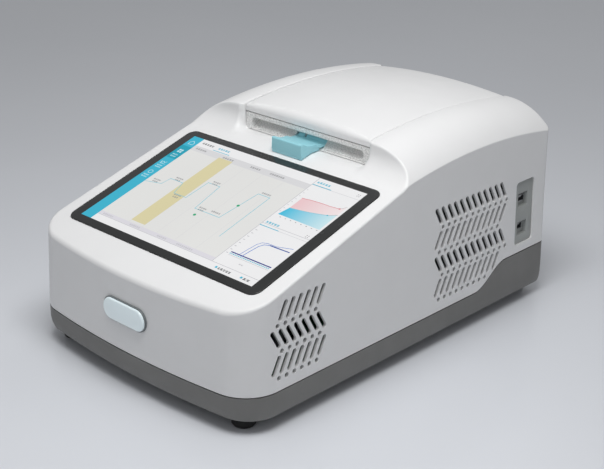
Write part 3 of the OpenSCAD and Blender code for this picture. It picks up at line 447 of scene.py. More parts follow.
    nb = NW + 1 + NA              # vertices of wall and rolled edge
    turn = nb + N1 - 1 + N2 // 2  # and on to half way round the shoulder's corner
    for a, b in zip(columns, columns[1:]):
        strip(a, b)
    # last deck line to the first cove line, which turns half way along the outer square
    strip(columns[-1], cove_cols[0], turn)
    # middle block behind that corner
    seg = cove_cols[0][turn - 1:]
    prev = columns[-1][turn - 1:]
    for start in seg[1:]:
        x_s, y = verts[start][:2]
        row = [start] + [add((x_s * (1 - i / N3), y, float(base_top(y)))) for i in range(1, N3 + 1)]
        strip(prev, row)
        prev = row
    for a, b in zip(cove_cols, cove_cols[1:]):
        strip(a, b)
    # the last cove line has shrunk to the centre of the corner: join it to the first line behind
    a, b = cove_cols[-1], rear_cols[0]
    strip(a, b, nb + N1 - 1)
    ring = [a[nb + N1 - 2]] + [cove_cols[j][-1] for j in ks[::-1]] + [cove_cols[min(ks) - 1][-1]]
    strip(ring, b[nb + N1 - 2:])
    for a, b in zip(rear_cols, rear_cols[1:]):
        strip(a, b)
    strip(rear_cols[-1][:NW1 + 1], mid[0])
    for a, b in zip(mid, mid[1:]):
        strip(a, b)

    v = np.array(verts)
    mirrored = [tuple(i + len(v) for i in f[::-1]) for f in faces]
    ob = new_mesh("casing_shell", np.vstack([v, v * [-1, 1, 1]]), faces + mirrored)
    clean(ob, 0.03)
    return ob


casing = build_casing()


def box_part(x0, x1, y0, y1, z0, z1):
    v = [(x, y, z) for z in (z0, z1) for y in (y0, y1) for x in (x0, x1)]
    f = [(0, 2, 3, 1), (4, 5, 7, 6), (0, 1, 5, 4), (2, 6, 7, 3), (0, 4, 6, 2), (1, 3, 7, 5)]
    return v, f


GLASS_Y = -96.0   # the middle of the glass


def to_deck(u, v, w):
    """A point on the deck: u across, v up the slope, w out of it."""
    c, s = math.cos(math.radians(SLOPE)), math.sin(math.radians(SLOPE))
    return u, GLASS_Y + v * c - w * s, DECK_Z + DECK_K * (GLASS_Y - DECK_Y) + v * s + w * c


def on_side(u, v, w):
    return w, u, v


def on_front(u, v, w):
    return u, w, v


def on_wall(u, v, w):
    """A point by the leaning side wall: w out of it."""
    return HALF_W - float(inset(v)) + w, u, v


def circle_pts(cx, cy, r, n=24):
    angles = [2 * math.pi * i / n for i in range(n)]
    return [(cx + r * math.cos(a), cy + r * math.sin(a)) for a in angles]


def shift(pts, dx, dy):
    return [(p[0] + dx, p[1] + dy) for p in pts]


# ---------------- vents, ports and panel openings

GLASS_W, GLASS_L = 239.0, 159.4
VENT_PITCH, SLOT_H, SLOT_R, DOT_R, SLOT_LEAN = 8.72, 12.3, 2.2, 2.1, 6.6
# first y, z, count, and for slots the way they lean
SLOT_ROWS = [(-156.4, 102.7, 6, 1), (-165.4, 80, 7, -1), (-165.4, 57.4, 7, 1),
             (39.5, 125.8, 12, -1), (39.5, 103.4, 12, 1), (39.5, 80.3, 12, -1), (39.3, 58, 11, 1)]
DOT_ROWS = [(-163, 91.3, 6), (-158.8, 68.7, 6), (-163, 46.1, 6),
            (45.5, 114.7, 12), (40.7, 91.9, 11), (45.4, 69, 12), (40.7, 46.5, 9)]


def slot_outline(lean):
    a = math.atan2(SLOT_H, lean)
    pts = []
    for cx, cy, a0 in ((lean / 2, SLOT_H / 2, a - math.pi / 2), (-lean / 2, -SLOT_H / 2, a + math.pi / 2)):
        for i in range(9):
            b = a0 + math.pi * i / 8
            pts.append((cx + SLOT_R * math.cos(b), cy + SLOT_R * math.sin(b)))
    return pts


def vent_cutters():
    parts = []
    for x0, x1 in ((HALF_W - 14, HALF_W + 3), (-HALF_W - 3, 14 - HALF_W)):
        for y, z, n, lean in SLOT_ROWS:
            slot = slot_outline(lean * SLOT_LEAN)
            parts += [prism(shift(slot, y + i * VENT_PITCH, z), on_side, x0, x1) for i in range(n)]
        for y, z, n in DOT_ROWS:
            parts += [prism(circle_pts(y + i * VENT_PITCH, z, DOT_R, 20), on_side, x0, x1) for i in range(n)]
    return parts


PORT_Y, PORT_Z = (156.8, 185.8), (63.4, 126.4)
PORT_CY, PORT_ZS = 169.8, (78.4, 107.1)
port_mid = ((PORT_Y[0] + PORT_Y[1]) / 2, (PORT_Z[0] + PORT_Z[1]) / 2)
port_size = (PORT_Y[1] - PORT_Y[0], PORT_Z[1] - PORT_Z[0])

thicken(casing, WALL)
for vert in casing.data.vertices:
    vert.co.y = min(vert.co.y, REAR_Y * MM)
cutters = [prism(round_rect(GLASS_W + 0.8, GLASS_L + 0.8, 9.4, 12), to_deck, -14, 14)]
cutters.append(box_part(-120, 120, REAR_Y - 9, REAR_Y + 4, 59.3, 136.7))
opening = shift(round_rect(*port_size, 4, 6), *port_mid)
step = shift(round_rect(port_size[0] + 1.6, port_size[1] + 1.6, 4.6, 6), *port_mid)
cutters.append(prism(opening, on_side, HALF_W - 16, HALF_W + 4))
cutters.append(prism(step, on_wall, -0.6, 4))
for sx in (-124, 124):
    for sz in (68, 128):
        cutters.append(prism(circle_pts(sx, sz, 3.2, 24), on_front, REAR_Y - 6, REAR_Y + 2))
cut(casing, merge_parts("cut_a", cutters))
cut(casing, merge_parts("cut_b", vent_cutters()))

# ---------------- lid cover

LIP_Z = 183.0
LID_Y = (9.8, REAR_Y)
SKIN = 2.5          # wall of the lid cover and the tray
SKIRT_ROWS = 4


def lid_low(y):
    """Lower edge of the cover's side at y."""
    ys = [0, 33.4, 44, 188, REAR_Y - 14, REAR_Y + 1]
    return float(np.interp(y, ys, [LIP_Z, LIP_Z, 168, 168, 161.2, 161.2]))


def build_lid():
    rx, rf, rr = 1.3, 7.0, 2.4    # roll radii at the sides, the front and the rear

    def g(n):
        return 1 - np.cos(np.linspace(0, math.pi / 2, n))

    xs = np.concatenate([LID_HALF - rx * g(7), np.linspace(LID_HALF - rx, 0, 18)[1:]])
    ys = np.concatenate([LID_Y[0] + rf * g(15), np.linspace(LID_Y[0] + rf, LID_Y[1] - rr, 60)[1:-1],
                         LID_Y[1] - rr * g(9)[::-1]])
    X = np.concatenate([xs, -xs[::-1][1:]])

    def top(x, y):
        d = LID_HALF - abs(x)
        qx = max(0.0, (rx - d) / rx)
        f, b = y - LID_Y[0], LID_Y[1] - y
        r = rr + (rf - rr) * (1 - (x / LID_HALF) ** 2) if f < b else rr
        qy = max(0.0, (r - min(f, b)) / r)
        a = math.sqrt(max(0.0, 1 - qx * qx))
        c = math.sqrt(max(0.0, 1 - qy * qy))
        return float(arch(x, y)) - rx * (1 - a) - r * (1 - c)

    v, f = [], []
    idx = {}
    for i, x in enumerate(X):
        for j, y in enumerate(ys):
            idx[i, j] = len(v)
            v.append((x, y, top(x, y)))
    n, m = len(X), len(ys)
    for i in range(n - 1):
        for j in range(m - 1):
            f.append((idx[i, j], idx[i, j + 1], idx[i + 1, j + 1], idx[i + 1, j]))

    def skirt(keys, low):
        prev = [idx[k] for k in keys]
        for s in range(1, SKIRT_ROWS + 1):
            row = []
            for k in keys:
                x, y, z = v[idx[k]]
                row.append(len(v))
                v.append((x, y, z + (low(y) - z) * s / SKIRT_ROWS))
            for a in range(len(row) - 1):
                f.append((prev[a], prev[a + 1], row[a + 1], row[a]))
            prev = row

    skirt([(0, j) for j in range(m)][::-1], lid_low)
    skirt([(n - 1, j) for j in range(m)], lid_low)
    skirt([(i, 0) for i in range(n)], lambda y: LIP_Z)
    skirt([(i, m - 1) for i in range(n)][::-1], lambda y: 151.0)
    ob = new_mesh("lid_shell", v, f)
    clean(ob, 0.01)
    thicken(ob, SKIN)
    return ob


lid = build_lid()

# ---------------- base tray


def ring_points():
    """The plan outline all round: x, y, nx, ny."""
    pts = [o[:4] for o in outline_half()]
    for y in np.linspace(CORNER_Y, REAR_Y - REAR_R, 60)[1:-1]:
        pts.append((HALF_W, y, -1.0, 0.0))
    for i in range(9):
        pts.append(wall_point(HALF_W - REAR_R, REAR_Y - REAR_R, REAR_R, math.pi / 2 * i / 8))
    for x in np.linspace(HALF_W - REAR_R, 0, 14)[1:]:
        pts.append((x, REAR_Y, 0.0, -1.0))
    left = [(-p[0], p[1], -p[2], p[3]) for p in pts[1:-1]][::-1]
    return pts + left


def base_inset(z, ny):
    """How far the tray's rounded lower edge is set in at height z."""
    front = np.interp(z, [11, 12, 14, 18, 23], [8, 4.6, 2.5, 0.9, 0])
    side = np.interp(z, [11, 12, 14, 18, 23], [4, 2.3, 1.4, 0.5, 0])
    rear = np.interp(z, [11, 12, 15], [3, 1.2, 0])
    w = ny * ny
    return float((front if ny > 0 else rear) * w + side * (1 - w))


TRAY_Z, TRAY_ROUND_Z = 11, 23       # underside of the tray, and where its rounded edge ends


def build_base():
    ring = ring_points()
    n = len(ring)
    v, f = [], []
    rows = [TRAY_Z, 11.5, 12, 13, 14, 16, 18, 20.5, TRAY_ROUND_Z]
    for z in rows:
        for x, y, nx, ny in ring:
            d = base_inset(z, ny)
            v.append((x + nx * d, y + ny * d, z))
    for s in range(1, 5):
        for x, y, nx, ny in ring:
            top = float(seam_at(y)) - SEAM_DOWN
            z = TRAY_ROUND_Z + (top - TRAY_ROUND_Z) * s / 4
            d = float(inset(z)) * lean_share(nx, ny)
            v.append((x + nx * d, y + ny * d, z))
    total = len(rows) + 4
    for r in range(total - 1):
        for i in range(n):
            k = (i + 1) % n
            f.append((r * n + i, r * n + k, (r + 1) * n + k, (r + 1) * n + i))
    c = len(v)
    v.append((0, 0, TRAY_Z))
    inner = [len(v) + i for i in range(n)]
    for i in range(n):
        v.append((v[i][0] * 0.9, v[i][1] * 0.9, TRAY_Z))
    for i in range(n):
        k = (i + 1) % n
        f.append((i, inner[i], inner[k], k))
        f.append((inner[i], c, inner[k]))
    ob = new_mesh("base_shell", v, f)
    clean(ob, 0.005)
    thicken(ob, SKIN)
    # the tongue inside the casing, which shuts the seam; it is coloured near-black as painted shade in the
    # seam
    tv, tf = [], []
    for d0 in (WALL + 0.3, WALL + 2.3):
        for dz in (-5.0, 4.0):
            for x, y, nx, ny in ring:
                z = float(seam_at(y)) + dz
                d = d0 + float(inset(z)) * lean_share(nx, ny)
                tv.append((x + nx * d, y + ny * d, z))
    for i in range(n):
        k = (i + 1) % n
        tf += [(i, k, n + k, n + i), (2 * n + i, 3 * n + i, 3 * n + k, 2 * n + k),
               (n + i, n + k, 3 * n + k, 3 * n + i), (i, 2 * n + i, 2 * n + k, k)]
    tongue = new_mesh("tongue", tv, tf)
    clean(tongue, 0.001)
    parts = [box_part(i * 12 - 3, i * 12 + 3, 40, 120, 9, 16) for i in range(-5, 6)]
    for x, y in ((-126, -85), (126, -85), (-126, 150), (126, 150), (0, -188)):
        parts.append(prism(circle_pts(x, y, 3.3), lambda a, b, w: (a, b, w), 9, 16))
    cut(ob, merge_parts("cut_c", parts))
    return ob, tongue


def join(obs):
    bpy.ops.object.select_all(action="DESELECT")
    for o in obs:
        o.select_set(True)
    bpy.context.view_layer.objects.active = obs[0]
    bpy.ops.object.join()
    return obs[0]


base, tongue = build_base()
shade(casing, 32)
shade(lid, 32)
shade(base, 32)

# ---------------- materials


class Mat:
    """A material with a Principled shader and a small builder for its nodes."""

    def __init__(self, name, metallic=0.0):
        self.m = bpy.data.materials.new(name)
        self.m.use_nodes = True
        self.t = self.m.node_tree
        self.b = self.t.nodes["Principled BSDF"]
        self.b.inputs["Metallic"].default_value = metallic
        self.co = self.t.nodes.new("ShaderNodeTexCoord").outputs["Object"]

    def set(self, **kw):
        for k, v in kw.items():
            self.b.inputs[k.replace("_", " ")].default_value = v
        return self

    def mapped(self, scale):
        n = self.t.nodes.new("ShaderNodeMapping")
        n.inputs["Scale"].default_value = scale
        self.t.links.new(self.co, n.inputs["Vector"])
        return n.outputs["Vector"]

    def noise(self, scale, detail=3.0, stretch=None, rough=0.55):
        n = self.t.nodes.new("ShaderNodeTexNoise")
        n.inputs["Scale"].default_value = scale
        n.inputs["Detail"].default_value = detail
        n.inputs["Roughness"].default_value = rough
        self.t.links.new(self.mapped(stretch) if stretch else self.co, n.inputs["Vector"])
        return n.outputs["Fac"]

    def cells(self, scale):
        n = self.t.nodes.new("ShaderNodeTexVoronoi")
        n.inputs["Scale"].default_value = scale
        self.t.links.new(self.co, n.inputs["Vector"])
        return n.outputs["Distance"]

    def span(self, value, a, b, lo=0.3, hi=0.7):
        n = self.t.nodes.new("ShaderNodeMapRange")
        for k, x in zip(("From Min", "From Max", "To Min", "To Max"), (lo, hi, a, b)):
            n.inputs[k].default_value = x
        self.t.links.new(value, n.inputs["Value"])
        return n.outputs["Result"]

    def mix(self, fac, a, b):
        n = self.t.nodes.new("ShaderNodeMix")
        n.data_type = "RGBA"
        for i, x in ((6, a), (7, b)):
            if hasattr(x, "links"):
                self.t.links.new(x, n.inputs[i])
            else:
                n.inputs[i].default_value = (*x, 1)
        self.t.links.new(fac, n.inputs[0])
        return n.outputs[2]

    def link(self, out, name):
        self.t.links.new(out, self.b.inputs[name])
        return self

    def tone(self, fac, color, vary):
        """Base colour that wanders a little to either side of color."""
        return self.link(self.mix(fac, darker(color, 1 - vary), darker(color, 1 + vary)), "Base Color")

    def relief(self, heights, round_mm=0.35):
        """heights: (output, strength, distance in mm) bumps, on top of softly rounded edges."""
        normal = None
        if round_mm:
            bv = self.t.nodes.new("ShaderNodeBevel")
            bv.samples = 4
            bv.inputs["Radius"].default_value = round_mm * MM
            normal = bv.outputs["Normal"]
        for out, strength, dist in heights:
            n = self.t.nodes.new("ShaderNodeBump")
            n.inputs["Strength"].default_value = strength
            n.inputs["Distance"].default_value = dist * MM
            self.t.links.new(out, n.inputs["Height"])
            if normal:
                self.t.links.new(normal, n.inputs["Normal"])
            normal = n.outputs["Normal"]
        return self.link(normal, "Normal") if normal else self


def darker(c, k):
    """The colour c times k."""
    return tuple(min(1.0, x * k) for x in c)


def moulded(name, color, rough, grain, strength, vary, round_mm=0.4, spec=0.5, coat=0.0):
    """Injection moulded plastic: fine texture, faint unevenness of tone and gloss."""
    m = Mat(name).set(Specular_IOR_Level=spec, Coat_Weight=coat, Coat_Roughness=0.12)
    m.tone(m.span(m.noise(22, 4), 0, 1), color, vary)
    m.link(m.span(m.noise(60, 5), rough * 0.88, rough * 1.12), "Roughness")
    return m.relief([(m.noise(grain, 2), strength, 0.05), (m.noise(9, 2), 0.04, 0.3)], round_mm)


def grained(name, color, rough, grain, vary):
    """Plastic with a coarse spark-eroded texture, light and dark in the grain."""
    m = Mat(name).set(Specular_IOR_Level=0.4)
    speck = m.noise(grain, 3, rough=0.7)
    m.tone(m.span(speck, 0, 1, 0.35, 0.65), color, vary)
    m.link(m.span(speck, rough * 0.85, rough * 1.15), "Roughness")
    return m.relief([(speck, 0.7, 0.12)], 0.5)


def metal(name, color, rough, stretch=(1, 1, 1), scale=900, strength=0.15, vary=0.08, round_mm=0.2):
    """Machined, drawn or cast metal: grain along the stretch, with duller patches."""
    m = Mat(name, 1.0)
    m.link(m.mix(m.span(m.noise(35, 4), 0, 1), darker(color, 1 - vary), color), "Base Color")
    m.link(m.span(m.noise(scale, 3, stretch), rough * 0.75, rough * 1.3), "Roughness")
    return m.relief([(m.noise(scale, 3, stretch), strength, 0.04)], round_mm)


def matt(name, color, rough, scale=600, strength=0.3, vary=0.12, kind="noise"):
    """Rubber, foam, ceramic, board and the like."""
    m = Mat(name).set(Specular_IOR_Level=0.35)
    tone = m.noise(scale / 6, 5)
    grain = m.cells(scale) if kind == "cells" else m.noise(scale, 4)
    m.tone(m.span(tone, 0, 1), color, vary)
    m.link(m.span(grain, rough * 0.9, min(1, rough * 1.1)), "Roughness")
    return m.relief([(grain, strength, 0.12)], 0.25)


def board(name):
    """Green circuit board with tracks."""
    m = Mat(name)
    w = m.t.nodes.new("ShaderNodeTexBrick")
    w.inputs["Scale"].default_value = 120
    w.inputs["Color1"].default_value = (0.02, 0.17, 0.07, 1)
    w.inputs["Color2"].default_value = (0.015, 0.12, 0.05, 1)
    w.inputs["Mortar"].default_value = (0.05, 0.27, 0.11, 1)
    w.inputs["Mortar Size"].default_value = 0.03
    m.t.links.new(m.co, w.inputs["Vector"])
    m.link(w.outputs["Color"], "Base Color")
    m.link(m.span(m.noise(300), 0.3, 0.45), "Roughness")
    return m.relief([(w.outputs["Fac"], 0.2, 0.05)], 0.15)


def components(name):
    """Chips, capacitors and sockets: dark and light bodies by position."""
    m = Mat(name)
    body = m.span(m.noise(26, 1), 0, 1, 0.48, 0.52)
    m.link(m.mix(body, (0.03, 0.03, 0.035), (0.42, 0.43, 0.45)), "Base Color")
    m.link(m.span(m.noise(200), 0.3, 0.5), "Roughness")
    return m.relief([(m.noise(1200), 0.15, 0.05)], 0.3)


WHITE = (0.80, 0.80, 0.80)
MATS = {name: make(name, *args) for name, make, *args in (
    ("casing_white", moulded, WHITE, 0.42, 2200, 0.10, 0.012),
    ("base_grey", moulded, (0.185, 0.183, 0.176), 0.5, 1600, 0.25, 0.05),
    ("panel_grey", moulded, (0.36, 0.375, 0.365), 0.5, 1500, 0.2, 0.05),
    ("grip_grey", grained, (0.74, 0.74, 0.73), 0.6, 950, 0.28),
    ("well_white", moulded, (0.62, 0.62, 0.62), 0.5, 1500, 0.15, 0.03),
    ("latch_teal", moulded, (0.28, 0.57, 0.64), 0.4, 1900, 0.12, 0.03),
    ("badge_ice", moulded, (0.76, 0.86, 0.89), 0.22, 2400, 0.05, 0.02, 0.3, 0.5, 0.6),
    ("screen_glass", moulded, (0.022, 0.023, 0.023), 0.25, 700, 0.02, 0.1, 0.3, 0.5),
    ("lcd_metal", metal, (0.62, 0.63, 0.65), 0.38, (1, 8, 1)),
    ("foot_rubber", matt, (0.018, 0.018, 0.018), 0.75, 900, 0.35),
    ("gasket_rubber", matt, (0.045, 0.045, 0.05), 0.7, 800, 0.3),
    ("steel", metal, (0.60, 0.61, 0.62), 0.33, (1, 10, 1)),
    ("screw_steel", metal, (0.55, 0.55, 0.56), 0.28, (1, 1, 6), 1400),
    ("spring_steel", metal, (0.50, 0.50, 0.52), 0.3, (1, 1, 1), 1600),
    ("block_aluminium", metal, (0.80, 0.81, 0.82), 0.34, (14, 1, 1)),
    ("sink_aluminium", metal, (0.72, 0.73, 0.74), 0.4, (1, 1, 14)),
    ("plate_aluminium", metal, (0.78, 0.79, 0.80), 0.3, (1, 12, 1)),
    ("ceramic", matt, (0.72, 0.71, 0.68), 0.55, 1200, 0.12, 0.04),
    ("foam", matt, (0.10, 0.10, 0.105), 0.9, 700, 0.7, 0.2, "cells"),
    ("duct_black", moulded, (0.03, 0.03, 0.032), 0.5, 1500, 0.25, 0.08),
    ("fan_black", moulded, (0.025, 0.025, 0.027), 0.45, 1500, 0.25, 0.08),
    ("rotor_black", moulded, (0.035, 0.035, 0.038), 0.4, 1800, 0.2, 0.08),
    ("board_green", board),
    ("component_mix", components),
    ("cable_grey", moulded, (0.50, 0.50, 0.48), 0.5, 900, 0.3, 0.05),
    ("wire_black", moulded, (0.02, 0.02, 0.02), 0.45, 900, 0.25, 0.1),
    ("inlet_black", moulded, (0.022, 0.022, 0.024), 0.4, 1500, 0.25, 0.08),
    ("rocker_black", moulded, (0.03, 0.03, 0.03), 0.3, 1800, 0.15, 0.08),
    ("drawer_black", moulded, (0.03, 0.03, 0.032), 0.38, 1700, 0.2, 0.08),
)}
# painted light: the latch gets a faint teal emission, a glow that stands in for light falling on it; it is no
# lamp
MATS["latch_teal"].set(Emission_Color=(0.24, 0.55, 0.62, 1), Emission_Strength=0.16)
# painted light: the badge face gets a faint ice-blue emission, a glow that stands in for light falling on it;
# it is no lamp
MATS["badge_ice"].set(Emission_Color=(0.76, 0.86, 0.89, 1), Emission_Strength=0.14)
for part in frame["record"]["subparts"]:
    ob = nodes[part["node"]]
    ob.data.materials.clear()
    ob.data.materials.append(MATS[part["material_slot"]].m)


def finish_piece(ob, name, body, slot, replaced=()):
    ob.name = name
    ob.data.name = name
    if not ob.data.materials:
        ob.data.materials.append(MATS[slot].m)
    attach(ob, body)
    if replaced:
        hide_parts(*replaced)


# the ledge at the front of the lid opening
ledge = merge_parts("ledge", [box_part(-OPEN_X, OPEN_X, 9.6, 14.2, LEDGE_Z, 165.35)])
casing = join([casing, ledge])
finish_piece(casing, "casing_skin", "root", "casing_white", ["upper_casing"])
finish_piece(lid, "lid_skin", "lid", "casing_white", ["lid_cover"])
base.data.materials.append(MATS["base_grey"].m)
# painted shade: the tongue's near-black material paints the shade of the gap between the casing and the tray
tongue.data.materials.append(moulded("seam_shade", (0.02, 0.02, 0.02), 0.6, 1500, 0.2, 0.05).m)
base = join([base, tongue])
finish_piece(base, "base_skin", "root", "base_grey", ["base_tray"])

# ---------------- grip frame of the lid

FRAME_Z = (166.0, 182.1)
GRIP_W = 2 * LID_HALF - 0.4


def grip_outline():
    """Front view of the grip: larger rounds at its two lower corners."""
    w, (z0, z1) = GRIP_W / 2, FRAME_Z
    return (arc(w - 1, z1 - 1, 1, 0, 8) + arc(1 - w, z1 - 1, 1, 90, 8)
            + arc(1.6 - w, z0 + 1.6, 1.6, 180, 8) + arc(w - 1.6, z0 + 1.6, 1.6, 270, 8))


grip = merge_parts("grip", [prism(grip_outline(), on_front, LID_Y[0] + 0.4, 32.8)])
POCKET_HALF, POCKET_Z, POCKET_R, SILL_Y = 70.0, (166.9, 177.7), 4.0, 13.2
pocket = [(POCKET_HALF, POCKET_Z[0])]
for side, start in ((1, 0), (-1, 90)):
    pocket += arc(side * (POCKET_HALF - POCKET_R), POCKET_Z[1] - POCKET_R, POCKET_R, start, 8)
pocket.append((-POCKET_HALF, POCKET_Z[0]))
cut(grip, merge_parts("cut_d", [
    prism(pocket, on_front, 0, 29.8),
    box_part(-19, 19, 14.8, 30.5, 167.5, 176.6),
    box_part(-9, 9, 17, 35, 150, 170)]))
cut(grip, merge_parts("cut_sill", [box_part(-POCKET_HALF, POCKET_HALF, 5, SILL_Y, 160, 170)]))
bevel(grip, 0.6, 3, 40)
# the grainy back of the pocket leans away from the user, with a notch for the lever
ramp_side = [(SILL_Y, POCKET_Z[0] - 0.3), (SILL_Y + 10.6, POCKET_Z[1] + 0.2),
             (SILL_Y + 12.6, POCKET_Z[1] + 0.2), (SILL_Y + 2.2, POCKET_Z[0] - 0.3)]
ramp = merge_parts("ramp", [prism(ramp_side, on_side, -POCKET_HALF - 0.3, POCKET_HALF + 0.3)])
cut(ramp, merge_parts("cut_r", [box_part(-19, 19, 10, 30, 160, 173.3)]))
grip = join([grip, ramp])
# the tray behind the grip keeps the CAD shape
tray = bpy.data.objects.new("tray", nodes["lid_frame"].data.copy())
bpy.context.scene.collection.objects.link(tray)
cut(tray, merge_parts("cut_e", [box_part(-90, 90, 0, 32.9, 166.1, 190)]))
grip = join([grip, tray])
shade(grip, 35)
grip.data.materials.clear()
finish_piece(grip, "grip_frame", "lid", "grip_grey", ["lid_frame"])

# ---------------- latch


def latch_outline():
    """Side view of the lever: tall thumb edge in front, a dished top behind it."""
    y0 = -14.4
    pts = [(y0, 162.1), (y0 - 0.9, 165.4), (y0 - 0.5, 174.6)] + arc(y0 + 0.9, 174.9, 1.5, 175, 8, -110)
    return pts + [(-9.8, 175.3), (-6.4, 173.7), (-2.6, 172.6), (4.6, 172.5), (7.6, 170.4), (19.5, 170.4),
                  (21.5, 172.6), (25.5, 173.6), (27, 171.5), (26, 168.2),
                  (LID_Y[0] - 1, 168.2), (LID_Y[0] - 1, 166.2), (-1.3, 166.1)]


latch = merge_parts("latch", [prism(latch_outline(), on_side, -18.4, 18.4)])
cut(latch, merge_parts("cut_f", [box_part(-11, -8, 19, 28, 166, 178)]))
bevel(latch, 0.5, 3, 35)
arm = merge_parts("arm", [box_part(-7.5, 7.5, 21.5, 27, 154, 168.6)])
bevel(arm, 0.4, 2)
latch = join([latch, arm])
shade(latch, 40)
finish_piece(latch, "latch_skin", "latch", "latch_teal", ["latch_lever"])

# ---------------- springs of the heated plate


def coil(cx, cy, z0, z1, radius, wire, turns):
    """A helical compression spring: its wire is swept up the coil, flatter at both ends."""
    v, f = [], []
    steps, ring = turns * 20, 8
    for i in range(steps + 1):
        t = i / steps
        a = 2 * math.pi * turns * t
        rise = float(smooth(t)) * 0.35 + t * 0.65
        z = z0 + wire + (z1 - z0 - 2 * wire) * rise
        for j in range(ring):
            b = 2 * math.pi * j / ring
            r = radius + wire * math.cos(b)
            v.append((cx + r * math.cos(a), cy + r * math.sin(a), z + wire * math.sin(b)))
    for i in range(steps):
        for j in range(ring):
            k = (j + 1) % ring
            f.append((i * ring + j, i * ring + k, (i + 1) * ring + k, (i + 1) * ring + j))
    f += [tuple(range(ring))[::-1], tuple(range(steps * ring, (steps + 1) * ring))]
    return v, f


spring_lo, spring_hi = (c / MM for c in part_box("plate_springs"))
COIL_R, WIRE_R, TURNS, PLATE_TRAVEL = 3.6, 0.5, 7, 2.5
coil_out = COIL_R + 0.55
springs = merge_parts("springs", [
    coil(cx, cy, spring_lo.z, spring_hi.z, COIL_R, WIRE_R, TURNS)
    for cx in (spring_lo.x + coil_out, spring_hi.x - coil_out)
    for cy in (spring_lo.y + coil_out, spring_hi.y - coil_out)])
shade(springs, 60)
finish_piece(springs, "plate_coils", "lid", "spring_steel", ["plate_springs"])
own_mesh(springs)

# ---------------- badge

BADGE_X, BADGE_Z = 0.6, 70.4
rim_line = shift(round_rect(54.4, 21.4, 10.6, 20), BADGE_X, BADGE_Z)
face_line = shift(round_rect(52.2, 19.4, 9.6, 20), BADGE_X, BADGE_Z)
rim = merge_parts("rim", [prism(rim_line, on_front, FRONT_Y - 0.2, FRONT_Y + 3.4)])
bevel(rim, 0.3, 2, 40)
face = merge_parts("face", [prism(face_line, on_front, FRONT_Y - 2.0, FRONT_Y + 2)])
bevel(face, 1.5, 6, 40)
rim_mat = moulded("badge_rim", (0.16, 0.18, 0.185), 0.3, 2200, 0.06, 0.03)
rim.data.materials.append(rim_mat.m)
face.data.materials.append(MATS["badge_ice"].m)
badge = join([rim, face])
shade(badge, 40)
finish_piece(badge, "badge_skin", "root", "badge_ice", ["front_badge"])

# ---------------- touch glass and its picture

GLASS_TOP, GLASS_T = 0.8, 2.8
glass_line = round_rect(GLASS_W, GLASS_L, 9, 14)
glass = merge_parts("glass", [prism(glass_line, to_deck, GLASS_TOP - GLASS_T, GLASS_TOP)])
bevel(glass, 0.5, 3, 40)
shade(glass, 40)
finish_piece(glass, "glass_skin", "root", "screen_glass", ["touch_glass"])


def srgb(*rgb):
    return tuple((c / 255 / 12.92) if c <= 10 else ((c / 255 + 0.055) / 1.055) ** 2.4 for c in rgb)


GLOW = 0.78


def lit(name, color, fade_to=None):
    """A colour of the lit picture behind glossy glass, with a faint pixel grid. It may fade to the right."""
    m = Mat(name).set(Emission_Strength=GLOW)
    out = m.mix(m.span(m.noise(8, 2), 0, 1), darker(color, 0.985), color)
    if fade_to:
        sep = m.t.nodes.new("ShaderNodeSeparateXYZ")
        m.t.links.new(m.co, sep.inputs["Vector"])
        out = m.mix(m.span(sep.outputs["X"], 0, 1, 0.060, 0.106), color, fade_to)
    grid = m.span(m.noise(2600, 1), 0.96, 1.0)
    dim = m.t.nodes.new("ShaderNodeMix")
    dim.data_type, dim.blend_type = "RGBA", "MULTIPLY"
    dim.inputs[0].default_value = 1
    m.t.links.new(out, dim.inputs[6])
    m.t.links.new(grid, dim.inputs[7])
    m.link(dim.outputs[2], "Emission Color")
    m.link(m.mix(m.span(m.noise(8, 2), 0, 1), darker(color, 0.16), darker(color, 0.18)), "Base Color")
    return m.link(m.span(m.noise(40), 0.08, 0.12), "Roughness")


PICTURE = {
    "paper": (240, 240, 241),
    "work": (229, 229, 227),
    "band": (219, 219, 221),
    "strip": (222, 220, 227),
    "teal": (52, 180, 208),
    "teal_dark": (14, 160, 184),
    "line_teal": (128, 200, 216),
    "yellow": (221, 212, 168),
    "grey": (150, 150, 152),
    "ink": (96, 98, 100),
    "line": (196, 196, 200),
    "ice": (200, 236, 244),
    "green": (44, 168, 120),
    "pink": (236, 198, 202),
    "blue": (66, 190, 222),
    "red_line": (214, 110, 120),
    "navy": (44, 62, 140),
    "curve": (90, 130, 205),
}
FADES = {"pink": (243, 236, 236), "blue": (222, 241, 243)}
UI = {k: lit("ui_" + k, srgb(*c), srgb(*FADES[k]) if k in FADES else None) for k, c in PICTURE.items()}
ui_faces = {k: [] for k in UI}


def ui_poly(kind, pts, layer):
    """One flat shape of the picture: pts in mm from the middle of the glass, u across and v up."""
    ui_faces[kind].append(prism(pts, to_deck, GLASS_TOP - 0.3, GLASS_TOP + 0.02 * layer))


def ui_rect(kind, u0, u1, v0, v1, layer):
    ui_poly(kind, [(u0, v0), (u1, v0), (u1, v1), (u0, v1)], layer)


def ui_line(kind, pts, width, layer):
    for (u0, v0), (u1, v1) in zip(pts, pts[1:]):
        length = math.hypot(u1 - u0, v1 - v0)
        a, b = (u1 - u0) / length * width / 2, (v1 - v0) / length * width / 2
        ui_poly(kind, [(u0 - a + b, v0 - b - a), (u1 + a + b, v1 + b - a),
                       (u1 + a - b, v1 + b + a), (u0 - a - b, v0 - b + a)], layer)


